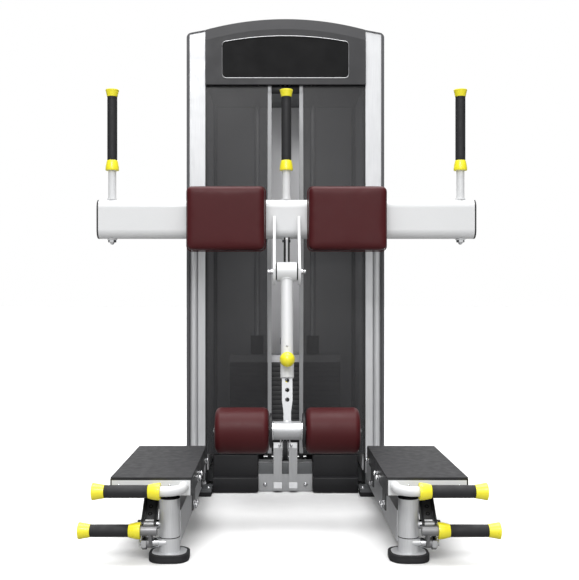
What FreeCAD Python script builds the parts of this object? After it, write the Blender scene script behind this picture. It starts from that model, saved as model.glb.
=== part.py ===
import FreeCAD, Part
import math
import os

import Sketcher
from FreeCAD import Placement, Rotation, Vector

# Standing leg curl machine, in millimetres. +Z is up, +Y points from the user
# to the weight tower, and +X is to the right of someone who faces the tower.
# The origin is on the floor, at the middle of the whole machine.

SIZES = {
    # tower
    "tower_front": 280.0,
    "tower_back": 598.5,
    "column_inner": 277.0,
    "column_outer": 341.0,
    "column_depth": 120.0,
    "bead_inner": 304.0,
    "bead_groove": 3.0,
    "bead_depth": 14.0,
    "bead_round": 12.0,
    "column_peak": 1595.0,
    "column_shoulder": 1583.0,
    "trim_width": 10.0,
    "trim_proud": 4.0,
    "rail_height": 50.0,
    "foot_height": 15.0,
    "sheet_gap": 4.0,
    "front_foot_inner": 251.0,
    "front_foot_front": 205.0,
    "front_foot_plate": 10.0,
    "tower_shoe_length": 60.0,
    "tie_depth": 80.0,
    "rear_tie_depth": 50.0,
    "frame_inset": 6.0,
    "bead_height": 880.0,
    "trim_roof": 4.0,
    "trim_corner": 18.0,
    "housing_half": 276.0,
    "housing_front": 262.0,
    "housing_bottom": 1404.0,
    "housing_shoulder": 1595.0,
    "housing_top": 1632.0,
    "bevel_depth": 12.0,
    "bevel_height": 38.0,
    "display_corner": 14.0,
    "display_half": 218.0,
    "display_bottom": 1426.0,
    "display_shoulder": 1550.0,
    "display_top": 1571.0,
    "display_recess": 3.0,
    "display_thick": 2.0,
    "housing_wall": 6.0,
    "housing_face": 14.0,
    "shroud_inner": 62.0,
    "shroud_thick": 4.0,
    "shroud_bottom": 130.0,
    "shroud_gap": 1.0,
    "strip_inner": 48.0,
    "strip_outer": 61.0,
    "strip_bottom": 121.0,
    "strip_top": 1377.0,
    "cover_inner": 94.0,
    "cover_outer": 250.0,
    "cover_front": 256.0,
    "cover_step": 283.0,
    "cover_back": 330.0,
    "cover_low": 53.0,
    "cover_high": 127.0,
    "cover_lift": 4.0,
    "kick_half": 93.0,
    "kick_low": 60.0,
    "kick_high": 100.0,
    "kick_face": 292.0,
    "kick_back": 349.0,
    "sill_face": 284.0,
    "sill_low": 2.0,
    "bracket_inner": 12.0,
    "bracket_outer": 41.0,
    "bracket_face": 277.0,
    "bracket_foot": 264.0,
    "bracket_top": 168.0,
    "bracket_web": 4.0,
    "bracket_web_back": 352.0,
    "stop_radius": 34.0,
    "stop_width": 20.0,
    "stop_y": 334.0,
    "stop_z": 132.0,
    # weights
    "stack_center": 425.0,
    "stack_width": 394.0,
    "stack_depth": 104.0,
    "plate_pitch": 16.8,
    "plate_gap": 0.8,
    "plates_resting": 14.0,
    "plates_lifted": 5.0,
    "stack_base": 122.0,
    "top_plate_thick": 25.0,
    "bushing_radius": 19.5,
    "bushing_height": 68.0,
    "rod_spacing": 202.0,
    "rod_radius": 11.0,
    "rod_clearance": 1.0,
    "rod_top": 1590.0,
    "stem_radius": 12.0,
    "stem_above": 60.0,
    "eye_radius": 18.0,
    "eye_height": 24.0,
    "plate_core_inset": 6.0,
    "selector_radius": 5.0,
    "selector_bore": 5.5,
    "selector_reach": 34.0,
    "selector_head": 11.0,
    "selector_head_length": 24.0,
    "bumper_radius": 24.0,
    "crossbeam_top": 65.0,
    # beam, pads and upright handles
    "beam_half": 592.0,
    "beam_center": 43.0,
    "beam_depth": 60.0,
    "beam_bottom": 858.0,
    "beam_top": 981.0,
    "beam_corner": 26.0,
    "beam_cap": 5.0,
    "beam_wall": 5.0,
    "bearer_half": 34.0,
    "bearer_inset": 4.0,
    "pad_inner": 65.0,
    "pad_outer": 304.0,
    "pad_bottom": 815.0,
    "pad_top": 1012.0,
    "pad_front": -60.0,
    "pad_back": -3.0,
    "pad_corner": 16.0,
    "board_thick": 8.0,
    "board_inset": 8.0,
    "spacer_inset": 60.0,
    "spacer_half": 32.0,
    "handle_spacing": 553.0,
    "tube_radius": 12.5,
    "grip_radius": 15.75,
    "cap_radius": 21.0,
    "grip_low": 1107.0,
    "grip_high": 1309.0,
    "cap_low": 1074.0,
    "post_collar": 3.0,
    "post_collar_height": 5.0,
    "post_bolt": 8.0,
    "post_washer": 3.0,
    "post_nut_radius": 11.0,
    "post_nut": 8.0,
    "cap_high": 1333.0,
    # swing arm
    "hub_y": -70.0,
    "hub_z": 750.0,
    "hub_radius": 29.5,
    "hub_width": 60.0,
    "pin_radius": 6.0,
    "pin_clearance": 0.08,
    "ear_inner": 34.0,
    "ear_thick": 8.0,
    "ear_radius": 40.0,
    "ear_top": 924.0,
    "ear_heel": 890.0,
    "pin_head": 8.5,
    "pin_head_length": 4.0,
    "pin_reach": 15.0,
    "cam_radius": 105.0,
    "cam_width": 18.0,
    "cam_groove": 4.5,
    "cam_groove_depth": 8.0,
    "cam_first": -44.0,
    "cam_last": 90.0,
    "cable_radius": 3.0,
    "arm_lean": 12.0,
    "arm_radius": 18.5,
    "arm_length": 324.0,
    "bar_width": 31.0,
    "bar_depth": 14.0,
    "bar_neck": 22.0,
    "bar_play": 0.5,
    "bar_bottom": 478.0,
    "bar_overlap": 150.0,
    "bar_shoulder": 86.0,
    "bar_waist": 53.0,
    "hole_radius": 6.5,
    "hole_pitch": 28.5,
    "collar_extra": 1.5,
    "collar_length": 42.0,
    "cross_radius": 27.0,
    "cross_half": 45.0,
    "roller_radius": 67.0,
    "roller_inner": 54.0,
    "roller_outer": 210.0,
    "axle_radius": 12.5,
    "disc_radius": 49.0,
    "disc_thick": 6.0,
    "roller_edge": 14.0,
    "knob_drop": 275.0,
    "knob_radius": 22.5,
    "knob_center": 45.0,
    "plunger_radius": 5.0,
    # cable drive at the top of the tower
    "pulley_y": 380.0,
    "pulley_z": 1440.0,
    "pulley_radius": 52.0,
    "pulley_line": 45.0,
    "pulley_width": 20.0,
    "pulley_axle": 8.0,
    "cheek_inner": 13.0,
    "cheek_thick": 6.0,
    "cheek_half": 24.0,
    # legs and foot platforms
    "leg_x": 304.0,
    "post_x": 307.0,
    "post_y": -473.0,
    "post_radius": 26.5,
    "post_top": 160.0,
    "leg_bottom": 42.0,
    "leg_top": 122.0,
    "leg_width": 50.0,
    "shoe_width": 103.0,
    "shoe_depth": 94.0,
    "shoe_corner": 36.0,
    "foot_plate_width": 88.0,
    "foot_plate_depth": 76.0,
    "foot_plate_thick": 5.0,
    "pivot_radius": 8.0,
    "hanger_half": 28.0,
    "hanger_thick": 5.0,
    "deck_inner": 245.0,
    "deck_outer": 451.0,
    "deck_front": -518.0,
    "deck_back": -62.0,
    "deck_top": 215.0,
    "deck_bottom": 172.0,
    "deck_sheet": 4.0,
    "mat_thick": 4.0,
    "tab_half": 26.0,
    "tab_drop": 46.0,
    "deck_pin": 6.0,
    "link_low_y": -478.0,
    "link_low_z": 90.0,
    "link_rear_y": -190.0,
    "link_length": 140.0,
    "link_angle": 44.0,
    "link_inner": 340.0,
    "link_thick": 6.0,
    "link_gap": 26.0,
    "link_half": 13.0,
    "bar_front": -576.5,
    "bar_height": 196.0,
    "bar_root": 266.0,
    "bar_end": 485.0,
    "bar_bend": 40.0,
    "grip_start": 316.0,
    "side_cap": 31.0,
    "lever_z": 83.0,
    "lever_y": -514.0,
    "lever_end": 533.0,
    "lever_root": 334.0,
    "lever_grip_length": 159.0,
    "lever_web": 7.0,
    "lever_boss": 14.0,
    "lever_boss_radius": 13.0,
    "lever_pivot_y": -492.0,
    "lever_pivot_z": 47.0,
}


class Dim:
    """A size and the sheet expression that gives it."""

    def __init__(self, value, text):
        self.value = float(value)
        self.text = text

    def __neg__(self):
        return Dim(-self.value, f"(-1 * {self.text})")

    def __add__(self, other):
        other = dim(other)
        return Dim(self.value + other.value, f"({self.text} + {other.text})")

    def __sub__(self, other):
        other = dim(other)
        return Dim(self.value - other.value, f"({self.text} - {other.text})")

    def __mul__(self, other):
        other = dim(other)
        return Dim(self.value * other.value, f"({self.text} * {other.text})")

    def __truediv__(self, other):
        other = dim(other)
        return Dim(self.value / other.value, f"({self.text} / {other.text})")

    def __radd__(self, other):
        return dim(other) + self

    def __rsub__(self, other):
        return dim(other) - self

    def __rmul__(self, other):
        return dim(other) * self


def dim(value):
    """Plain numbers become sizes too, so that the two can be mixed."""
    return value if isinstance(value, Dim) else Dim(value, f"({value})")


doc = FreeCAD.newDocument("leg_curl")
sheet = doc.addObject("Spreadsheet::Sheet", "sizes")
for row, (alias, number) in enumerate(SIZES.items(), start=1):
    sheet.set(f"A{row}", alias)
    sheet.set(f"B{row}", str(number))
    sheet.setAlias(f"B{row}", alias)
doc.recompute()
S = {alias: Dim(number, f"sizes.{alias}") for alias, number in SIZES.items()}

nodes = []
SIDES = {"left": -1, "right": 1}
UP = Rotation()
ALONG_X = Rotation(Vector(0, 1, 0), 90)
ALONG_Y = Rotation(Vector(1, 0, 0), -90)


def bind(obj, prop, size):
    obj.setExpression(prop, dim(size).text)


def place(obj, x, y, z, turn=UP):
    obj.Placement = Placement(Vector(), turn)
    bind(obj, "Placement.Base.x", x)
    bind(obj, "Placement.Base.y", y)
    bind(obj, "Placement.Base.z", z)
    return obj


def box(x, y, z, name="block"):
    """A box from its lowest to its highest x, y and z."""
    shape = doc.addObject("Part::Box", name)
    for prop, (low, high) in zip(("Length", "Width", "Height"), (x, y, z)):
        bind(shape, prop, dim(high) - low)
    return place(shape, x[0], y[0], z[0])


def rod(radius, length, x, y, z, turn=UP, name="rod"):
    shape = doc.addObject("Part::Cylinder", name)
    bind(shape, "Radius", radius)
    bind(shape, "Height", length)
    return place(shape, x, y, z, turn)


def cut(base, tool, name="cut"):
    shape = doc.addObject("Part::Cut", name)
    shape.Base = base
    shape.Tool = tool
    return shape


def fuse(parts, name="fused"):
    shape = doc.addObject("Part::MultiFuse", name)
    shape.Shapes = parts
    return shape


def group(parts, name="group"):
    """Pieces that don't touch, kept as separate solids."""
    shape = doc.addObject("Part::Compound", name)
    shape.Links = parts
    return shape


def mirrored(source, name="mirror"):
    """The same piece on the other side of the machine's middle plane."""
    shape = doc.addObject("Part::Mirroring", name)
    shape.Source = source
    shape.Normal = Vector(1, 0, 0)
    return shape


def rounded(base, radius, wanted, name="rounded"):
    """Rounds the edges for which wanted(edge) is true."""
    doc.recompute()
    shape = doc.addObject("Part::Fillet", name)
    shape.Base = base
    size = dim(radius).value
    picked = [number for number, edge in enumerate(base.Shape.Edges, start=1) if wanted(edge)]
    shape.Edges = [(number, size, size) for number in picked]
    return shape


def runs_along(direction):
    """A test for straight edges that run along a direction."""

    def test(edge):
        if edge.Curve.TypeId != "Part::GeomLine":
            return False
        return abs(edge.tangentAt(edge.FirstParameter).dot(direction)) > 0.999

    return test


def sketch(body, plane, points):
    """A closed outline on one of the body's own planes, every corner tied to the sheet."""
    outline = body.newObject("Sketcher::SketchObject", body.Name + "_outline")
    base = [feature for feature in body.Origin.OriginFeatures if feature.Role == plane][0]
    outline.AttachmentSupport = [(base, "")]
    outline.MapMode = "FlatFace"
    corners = [(dim(a), dim(b)) for a, b in points]
    count = len(corners)
    for index in range(count):
        start = corners[index]
        end = corners[(index + 1) % count]
        first = Vector(start[0].value, start[1].value, 0)
        last = Vector(end[0].value, end[1].value, 0)
        outline.addGeometry(Part.LineSegment(first, last), False)
    for index in range(count):
        following = (index + 1) % count
        outline.addConstraint(Sketcher.Constraint("Coincident", index, 2, following, 1))
    for index, corner in enumerate(corners):
        for kind, size in zip(("DistanceX", "DistanceY"), corner):
            number = outline.addConstraint(Sketcher.Constraint(kind, -1, 1, index, 1, size.value))
            outline.setExpression(f"Constraints[{number}]", size.text)
    return outline


def padded(points, plane, length, name="plate"):
    """An outline made solid, half of its length to each side of its plane."""
    body = doc.addObject("PartDesign::Body", name)
    outline = sketch(body, plane, points)
    pad = body.newObject("PartDesign::Pad", name + "_pad")
    pad.Profile = outline
    pad.Midplane = True
    bind(pad, "Length", length)
    return body


def revolved(points, name="turned"):
    """A turned piece: radius and height pairs, spun about the body's Z axis."""
    body = doc.addObject("PartDesign::Body", name)
    outline = sketch(body, "XZ_Plane", points)
    spin = body.newObject("PartDesign::Revolution", name + "_spin")
    spin.Profile = outline
    spin.ReferenceAxis = (outline, ["V_Axis"])
    spin.Angle = 360
    return body


def node(shape, label):
    """Names a finished sub-part."""
    shape.Label = label
    nodes.append(shape)
    return shape


def sided(side, low, high):
    """The x range of a piece given by its distances from the middle."""
    return (-dim(high), -dim(low)) if side == "left" else (dim(low), dim(high))


# ---------------------------------------------------------------- tower base

rail_top = S["foot_height"] + S["rail_height"]
rails = [
    box(
        sided(side, S["column_inner"], S["column_outer"] - S["trim_width"]),
        (S["tower_front"], S["tower_back"] - S["frame_inset"]),
        (S["foot_height"], rail_top),
    )
    for side in SIDES
]
rear_tie_back = S["tower_back"] - S["frame_inset"] - 10
rear_tie = box(
    (-S["column_inner"], S["column_inner"]),
    (rear_tie_back - S["rear_tie_depth"], rear_tie_back),
    (S["foot_height"], rail_top),
)
stack_half = S["stack_depth"] / 2
front_tie = box(
    (-S["column_inner"], S["column_inner"]),
    (S["stack_center"] - S["tie_depth"] / 2, S["stack_center"] + S["tie_depth"] / 2),
    (S["foot_height"], S["crossbeam_top"]),
)
foot_plates = [
    box(
        sided(side, S["front_foot_inner"], S["column_outer"] - S["trim_width"]),
        (S["front_foot_front"], S["tower_front"] + 10),
        (S["foot_height"], S["foot_height"] + S["front_foot_plate"]),
    )
    for side in SIDES
]
node(fuse(rails + [rear_tie, front_tie] + foot_plates), "base_frame")

# ------------------------------------------------------------- rubber shoes


def oval_shoe(side):
    """An oval shoe under a front post."""
    width, depth = S["shoe_width"], S["shoe_depth"]
    center = SIDES[side] * S["post_x"]
    block = box(
        (center - width / 2, center + width / 2),
        (S["post_y"] - depth / 2, S["post_y"] + depth / 2),
        (0, S["foot_height"]),
    )
    return rounded(block, S["shoe_corner"], runs_along(Vector(0, 0, 1)))


tower_shoes = [
    box(
        sided(side, inner, S["column_outer"] - S["trim_width"]),
        (start, start + S["tower_shoe_length"]),
        (0, S["foot_height"]),
    )
    for side in SIDES
    for inner, start in (
        (S["front_foot_inner"], S["front_foot_front"]),
        (S["column_inner"], S["tower_back"] - S["tower_shoe_length"] - 20),
    )
]
node(group([oval_shoe(side) for side in SIDES] + tower_shoes), "rubber_feet")

# ------------------------------------------------------------------ columns

trim_inner = S["column_outer"] - S["trim_width"]
column_width = S["column_outer"] - S["column_inner"]
column_middle = S["tower_front"] + S["column_depth"] / 2
slope = (S["column_peak"] - S["column_shoulder"]) / column_width
trim_shoulder = S["column_shoulder"] + slope * S["trim_width"]


def column():
    """An upright with a sloping top, its face beaded below the beam and flat above."""
    upper = padded(
        [
            (S["column_inner"], S["bead_height"]),
            (trim_inner, S["bead_height"]),
            (trim_inner, trim_shoulder - S["trim_roof"]),
            (S["column_inner"], S["column_peak"] - S["trim_roof"]),
        ],
        "XZ_Plane",
        S["column_depth"],
        "column",
    )
    place(upper, 0, column_middle, 0)
    lower = box(
        (S["column_inner"], trim_inner),
        (S["tower_front"], S["tower_front"] + S["column_depth"]),
        (rail_top, S["bead_height"]),
    )
    groove = box(
        (S["bead_inner"] - S["bead_groove"], S["bead_inner"]),
        (S["tower_front"] - 1, S["tower_front"] + S["bead_depth"]),
        (rail_top - 1, S["bead_height"] + 1),
    )
    grooved = cut(lower, groove)
    bead_start = S["bead_inner"].value - 0.1
    face = S["tower_front"].value + 0.1

    def bead_edge(edge):
        point = edge.valueAt(edge.FirstParameter)
        return runs_along(Vector(0, 0, 1))(edge) and point.x > bead_start and point.y < face

    return fuse([rounded(grooved, S["bead_round"], bead_edge), upper])


def column_trim():
    """A dark strip down the outer side of a column and along its sloping top."""
    body = padded(
        [
            (trim_inner, rail_top),
            (S["column_outer"], rail_top),
            (S["column_outer"], S["column_shoulder"]),
            (S["column_inner"], S["column_peak"]),
            (S["column_inner"], S["column_peak"] - S["trim_roof"]),
            (trim_inner, trim_shoulder - S["trim_roof"]),
        ],
        "XZ_Plane",
        S["column_depth"] + S["trim_proud"] * 2,
        "column_trim",
    )
    place(body, 0, column_middle, 0)
    outer_corner = S["column_outer"].value - 1

    def top_corner(edge):
        if not runs_along(Vector(0, 1, 0))(edge):
            return False
        point = edge.valueAt(edge.FirstParameter)
        return point.x > outer_corner and point.z > S["housing_bottom"].value

    return rounded(body, S["trim_corner"], top_corner)


right_column = column()
node(right_column, "column_right")
node(mirrored(right_column), "column_left")
right_trim = column_trim()
node(group([right_trim, mirrored(right_trim)]), "column_trims")

# ------------------------------------------------------------------ housing


def arched(half, front, back, bottom, shoulder, top):
    """A block whose top is one arc from shoulder to shoulder."""
    rise = top - shoulder
    radius = (half * half + rise * rise) / (rise * 2)
    block = box((-half, half), (front, back), (bottom, top + 1))
    crown = rod(radius, back - front, 0, front, top - radius, ALONG_Y)
    arch = doc.addObject("Part::Common", "arch")
    arch.Base = block
    arch.Tool = crown
    return arch


housing_block = arched(
    S["housing_half"],
    S["housing_front"],
    S["tower_back"],
    S["housing_bottom"],
    S["housing_shoulder"],
    S["housing_top"],
)


crown_rise = S["housing_top"] - S["housing_shoulder"]
crown_radius = (S["housing_half"] * S["housing_half"] + crown_rise * crown_rise) / (crown_rise * 2)
bevel_ring = revolved(
    [
        (crown_radius - S["bevel_height"], 0),
        (crown_radius + S["bevel_height"], S["bevel_depth"] * 2),
        (crown_radius + S["bevel_height"], -1),
        (crown_radius - S["bevel_height"], -1),
    ],
    "bevel_ring",
)
place(bevel_ring, 0, S["housing_front"], S["housing_top"] - crown_radius, ALONG_Y)
bevelled = cut(housing_block, bevel_ring)
hollow_top = S["housing_shoulder"] - S["sheet_gap"]
housing_hollow = box(
    (-S["housing_half"] + S["housing_wall"], S["housing_half"] - S["housing_wall"]),
    (S["housing_front"] + S["housing_face"], S["tower_back"] - S["housing_wall"]),
    (S["housing_bottom"] - 1, hollow_top),
)


def display_block(front, back):
    block = arched(
        S["display_half"],
        front,
        back,
        S["display_bottom"],
        S["display_shoulder"],
        S["display_top"],
    )
    return rounded(block, S["display_corner"], runs_along(Vector(0, 1, 0)))


recess_floor = S["housing_front"] + S["display_recess"]
recess = display_block(S["housing_front"] - 1, recess_floor)
node(cut(cut(bevelled, housing_hollow), recess), "top_housing")
node(display_block(recess_floor - S["display_thick"], recess_floor), "display_panel")

# ------------------------------------------------------------------ shrouds

for side in ("left", "right"):
    panel = box(
        sided(side, S["shroud_inner"], S["column_inner"] - S["shroud_gap"]),
        (S["tower_front"], S["tower_front"] + S["shroud_thick"]),
        (S["shroud_bottom"], S["housing_bottom"] - S["shroud_gap"]),
    )
    node(panel, "front_shroud_" + side)

back_outer = box(
    (-S["housing_half"], S["housing_half"]),
    (S["tower_front"] + S["shroud_thick"] + S["sheet_gap"], S["tower_back"]),
    (rail_top + S["shroud_gap"], S["housing_bottom"] - S["shroud_gap"]),
)
back_inner = box(
    (-S["housing_half"] + S["shroud_thick"], S["housing_half"] - S["shroud_thick"]),
    (S["tower_front"], S["tower_back"] - S["shroud_thick"]),
    (rail_top, S["housing_bottom"]),
)


def back_corner(edge):
    point = edge.valueAt(edge.FirstParameter)
    return runs_along(Vector(0, 0, 1))(edge) and point.y > S["stack_center"].value


back_outer = rounded(back_outer, 30, back_corner)
back_inner = rounded(back_inner, 26, back_corner)
node(cut(back_outer, back_inner), "rear_shroud")

strips = [
    box(
        sided(side, S["strip_inner"], S["strip_outer"]),
        (S["tower_front"] - 4, S["tower_front"] + 14),
        (S["strip_bottom"], S["strip_top"]),
    )
    for side in SIDES
]
node(group(strips), "slot_strips")

# ------------------------------------------------- lower covers and bracket

covers = []
for side, sign in SIDES.items():
    profile = padded(
        [
            (S["cover_front"], S["cover_lift"]),
            (S["cover_back"], S["cover_lift"]),
            (S["cover_back"], S["cover_high"]),
            (S["cover_step"], S["cover_high"]),
            (S["cover_step"], S["cover_low"]),
            (S["cover_front"], S["cover_low"]),
        ],
        "YZ_Plane",
        S["cover_outer"] - S["cover_inner"],
        "cover",
    )
    place(profile, sign * (S["cover_inner"] + S["cover_outer"]) / 2, 0, 0)
    covers.append(profile)
node(group(covers), "lower_covers")

kick_plate = padded(
    [
        (S["kick_back"], S["kick_low"]),
        (S["kick_back"], S["kick_high"]),
        (S["kick_face"], S["kick_high"]),
        (S["kick_face"], S["kick_low"]),
        (S["sill_face"], S["kick_low"]),
        (S["sill_face"], S["sill_low"]),
        (S["kick_face"], S["sill_low"]),
        (S["kick_face"] + 8, S["kick_low"]),
    ],
    "YZ_Plane",
    S["kick_half"] * 2,
    "kick_plate",
)
bracket_bars = []
for sign in SIDES.values():
    # A flat bar whose foot flares forwards and whose top bends back.
    bracket_bar = padded(
        [
            (S["sill_face"], 8),
            (S["bracket_foot"], 8),
            (S["bracket_foot"], 16),
            (S["bracket_face"], 34),
            (S["bracket_face"], S["bracket_top"] - 16),
            (S["bracket_face"] + 15, S["bracket_top"]),
            (S["bracket_face"] + 21, S["bracket_top"]),
            (S["bracket_face"] + 21, S["bracket_top"] - 6),
            (S["sill_face"], S["bracket_top"] - 20),
        ],
        "YZ_Plane",
        S["bracket_outer"] - S["bracket_inner"],
        "bracket_bar",
    )
    place(bracket_bar, sign * (S["bracket_inner"] + S["bracket_outer"]) / 2, 0, 0)
    bracket_bars.append(bracket_bar)
web_inner = S["bracket_inner"] + 2
bracket_webs = [
    box(
        sided(side, web_inner, web_inner + S["bracket_web"]),
        (S["sill_face"] - 1, S["bracket_web_back"]),
        (S["kick_high"] - 2, S["bracket_top"]),
    )
    for side in SIDES
]
roller_stop = rod(S["stop_radius"], S["stop_width"], -S["stop_width"] / 2, S["stop_y"],
                  S["stop_z"], ALONG_X)
bracket_pin = rod(S["pin_radius"], web_inner * 2 + 16, -web_inner - 8, S["stop_y"], S["stop_z"],
                  ALONG_X)
node(
    fuse([kick_plate] + bracket_bars + bracket_webs + [roller_stop, bracket_pin]),
    "low_bracket",
)

# -------------------------------------------------------------- weight stack

rod_half = S["rod_spacing"] / 2
rods = [
    rod(
        S["rod_radius"],
        S["rod_top"] - S["crossbeam_top"],
        sign * rod_half,
        S["stack_center"],
        S["crossbeam_top"],
    )
    for sign in SIDES.values()
]
node(group(rods), "guide_rods")


def rod_holes(bottom, top):
    """Two clearance holes for the guide rods."""
    return [
        rod(
            S["rod_radius"] + S["rod_clearance"],
            dim(top) - bottom,
            sign * rod_half,
            S["stack_center"],
            bottom,
        )
        for sign in SIDES.values()
    ]


def drilled(block, tools):
    return cut(block, fuse(tools))


def weight_plates(count, bottom):
    """Plates one above another, held together by a narrower core in the gaps."""
    plates = []
    for index in range(int(count.value)):
        low = bottom + S["plate_pitch"] * index
        plates.append(
            box(
                (-S["stack_width"] / 2, S["stack_width"] / 2),
                (S["stack_center"] - stack_half, S["stack_center"] + stack_half),
                (low, low + S["plate_pitch"] - S["plate_gap"]),
            )
        )
    top = bottom + S["plate_pitch"] * count - S["plate_gap"]
    inset = S["plate_core_inset"]
    core = box(
        (-S["stack_width"] / 2 + inset, S["stack_width"] / 2 - inset),
        (S["stack_center"] - stack_half + inset, S["stack_center"] + stack_half - inset),
        (bottom, top),
    )
    return plates + [core], top


resting_parts, resting_top = weight_plates(S["plates_resting"], S["stack_base"])
stem_hole = rod(
    S["stem_radius"] + 1, resting_top - S["stack_base"] + 2, 0, S["stack_center"],
    S["stack_base"] - 1,
)
node(
    drilled(
        fuse(resting_parts),
        rod_holes(S["stack_base"] - 1, resting_top + 1) + [stem_hole],
    ),
    "lower_weights",
)

bumpers = [
    cut(
        rod(
            S["bumper_radius"],
            S["stack_base"] - S["crossbeam_top"],
            sign * rod_half,
            S["stack_center"],
            S["crossbeam_top"],
        ),
        rod(
            S["rod_radius"],
            S["stack_base"] - S["crossbeam_top"],
            sign * rod_half,
            S["stack_center"],
            S["crossbeam_top"],
        ),
    )
    for sign in SIDES.values()
]
node(group(bumpers), "stack_bumpers")

lifted_base = S["stack_base"] + S["plate_pitch"] * S["plates_resting"]
lifted_parts, lifted_top = weight_plates(S["plates_lifted"], lifted_base)
pin_height = lifted_base + S["plate_pitch"] / 2 - S["plate_gap"] / 2
pin_bore = rod(
    S["selector_bore"],
    S["stack_depth"] / 2 + 2,
    0,
    S["stack_center"] - stack_half - 1,
    pin_height,
    ALONG_Y,
)
lifted_stem_hole = rod(
    S["stem_radius"] + 0.5, lifted_top - lifted_base + 2, 0, S["stack_center"], lifted_base - 1
)
node(
    drilled(
        fuse(lifted_parts),
        rod_holes(lifted_base - 1, lifted_top + 1) + [lifted_stem_hole, pin_bore],
    ),
    "lifted_weights",
)

top_plate_low = lifted_top + S["plate_gap"]
top_plate_high = top_plate_low + S["top_plate_thick"]
top_plate = box(
    (-S["stack_width"] / 2, S["stack_width"] / 2),
    (S["stack_center"] - stack_half, S["stack_center"] + stack_half),
    (top_plate_low, top_plate_high),
)
bushings = [
    rod(
        S["bushing_radius"],
        S["bushing_height"],
        sign * rod_half,
        S["stack_center"],
        top_plate_high,
    )
    for sign in SIDES.values()
]
stem_low = S["stack_base"] + 40
stem_top = top_plate_high + S["stem_above"]
stem = rod(S["stem_radius"], stem_top - stem_low, 0, S["stack_center"], stem_low)
stem_eye = rod(S["eye_radius"], S["eye_height"], 0, S["stack_center"], stem_top - S["eye_height"])
stem_pin_bore = rod(
    S["selector_bore"],
    S["stack_depth"] / 2 + 30,
    0,
    S["stack_center"] - stack_half - 1,
    pin_height,
    ALONG_Y,
)
node(
    drilled(
        fuse([top_plate] + bushings + [stem, stem_eye]),
        rod_holes(top_plate_low - 1, top_plate_high + S["bushing_height"] + 1)
        + [stem_pin_bore],
    ),
    "weight_top",
)

selector_front = S["stack_center"] - stack_half - S["selector_reach"]
selector = fuse(
    [
        rod(S["selector_radius"], S["selector_reach"] + stack_half, 0, selector_front, pin_height,
            ALONG_Y),
        rod(S["selector_head"], S["selector_head_length"], 0, selector_front - 4, pin_height,
            ALONG_Y),
    ]
)
node(selector, "selector_pin")

# ----------------------------------------------------------------- main beam

beam_block = box(
    (-S["beam_half"], S["beam_half"]),
    (S["beam_center"] - S["beam_depth"] / 2, S["beam_center"] + S["beam_depth"] / 2),
    (S["beam_bottom"], S["beam_top"]),
)
beam_tube = rounded(beam_block, S["beam_corner"], runs_along(Vector(1, 0, 0)))
beam_wall = S["beam_wall"]
beam_core = rounded(
    box(
        (-S["beam_half"], S["beam_half"]),
        (
            S["beam_center"] - S["beam_depth"] / 2 + beam_wall,
            S["beam_center"] + S["beam_depth"] / 2 - beam_wall,
        ),
        (S["beam_bottom"] + beam_wall, S["beam_top"] - beam_wall),
    ),
    S["beam_corner"] - beam_wall,
    runs_along(Vector(1, 0, 0)),
)
beam_back = S["beam_center"] + S["beam_depth"] / 2
beam_height = (S["beam_bottom"] + S["beam_top"]) / 2
arms_to_columns = [
    box(
        sided(side, S["column_inner"] + S["bearer_inset"], trim_inner - S["bearer_inset"]),
        (beam_back, S["tower_front"]),
        (beam_height - S["bearer_half"], beam_height + S["bearer_half"]),
    )
    for side in SIDES
]
bolt_holes = [
    rod(
        S["post_bolt"],
        S["beam_top"] - S["beam_bottom"] + 2,
        spot * S["handle_spacing"],
        S["beam_center"],
        S["beam_bottom"] - 1,
    )
    for spot in (-1, 0, 1)
]
node(cut(fuse([beam_tube] + arms_to_columns), fuse([beam_core] + bolt_holes)), "main_beam")

beam_ends = []
for sign in SIDES.values():
    low = S["beam_half"] if sign > 0 else -S["beam_half"] - S["beam_cap"]
    end_block = box(
        (low, low + S["beam_cap"]),
        (S["beam_center"] - S["beam_depth"] / 2, S["beam_center"] + S["beam_depth"] / 2),
        (S["beam_bottom"], S["beam_top"]),
    )
    beam_ends.append(rounded(end_block, S["beam_corner"], runs_along(Vector(1, 0, 0))))
node(group(beam_ends), "beam_end_caps")

# ---------------------------------------------------------------- thigh pads

for side in SIDES:
    cushion = box(
        sided(side, S["pad_inner"], S["pad_outer"]),
        (S["pad_front"], S["pad_back"]),
        (S["pad_bottom"], S["pad_top"]),
    )
    cushion = rounded(cushion, S["pad_corner"], runs_along(Vector(0, 1, 0)))
    node(cushion, "thigh_pad_" + side)

pad_mounts = []
for side in SIDES:
    board = box(
        sided(side, S["pad_inner"] + S["board_inset"], S["pad_outer"] - S["board_inset"]),
        (S["pad_back"], S["pad_back"] + S["board_thick"]),
        (S["pad_bottom"] + S["board_inset"], S["pad_top"] - S["board_inset"]),
    )
    spacer = box(
        sided(side, S["pad_inner"] + S["spacer_inset"], S["pad_outer"] - S["spacer_inset"]),
        (S["pad_back"] + S["board_thick"], S["beam_center"] - S["beam_depth"] / 2),
        (beam_height - S["spacer_half"], beam_height + S["spacer_half"]),
    )
    pad_mounts.append(fuse([board, spacer]))
node(group(pad_mounts), "pad_mounts")

# ----------------------------------------------------------- upright handles


def grip_cap(wide_end, narrow, wide, name="cap"):
    """A bell-shaped collar on a tube, wide at one end. Heights run along Z."""
    low, high = (narrow, wide) if wide_end == "high" else (wide, narrow)
    bore = S["tube_radius"]
    lip = S["grip_radius"] + 0.5
    rim = S["cap_radius"]
    body = S["cap_radius"] - 1.5
    span = high - low
    if wide_end == "high":
        points = [(bore, low), (lip, low), (body, low + span * 0.6), (rim, high), (bore, high)]
    else:
        points = [(bore, low), (rim, low), (body, low + span * 0.4), (lip, high), (bore, high)]
    return revolved(points, name)


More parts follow.
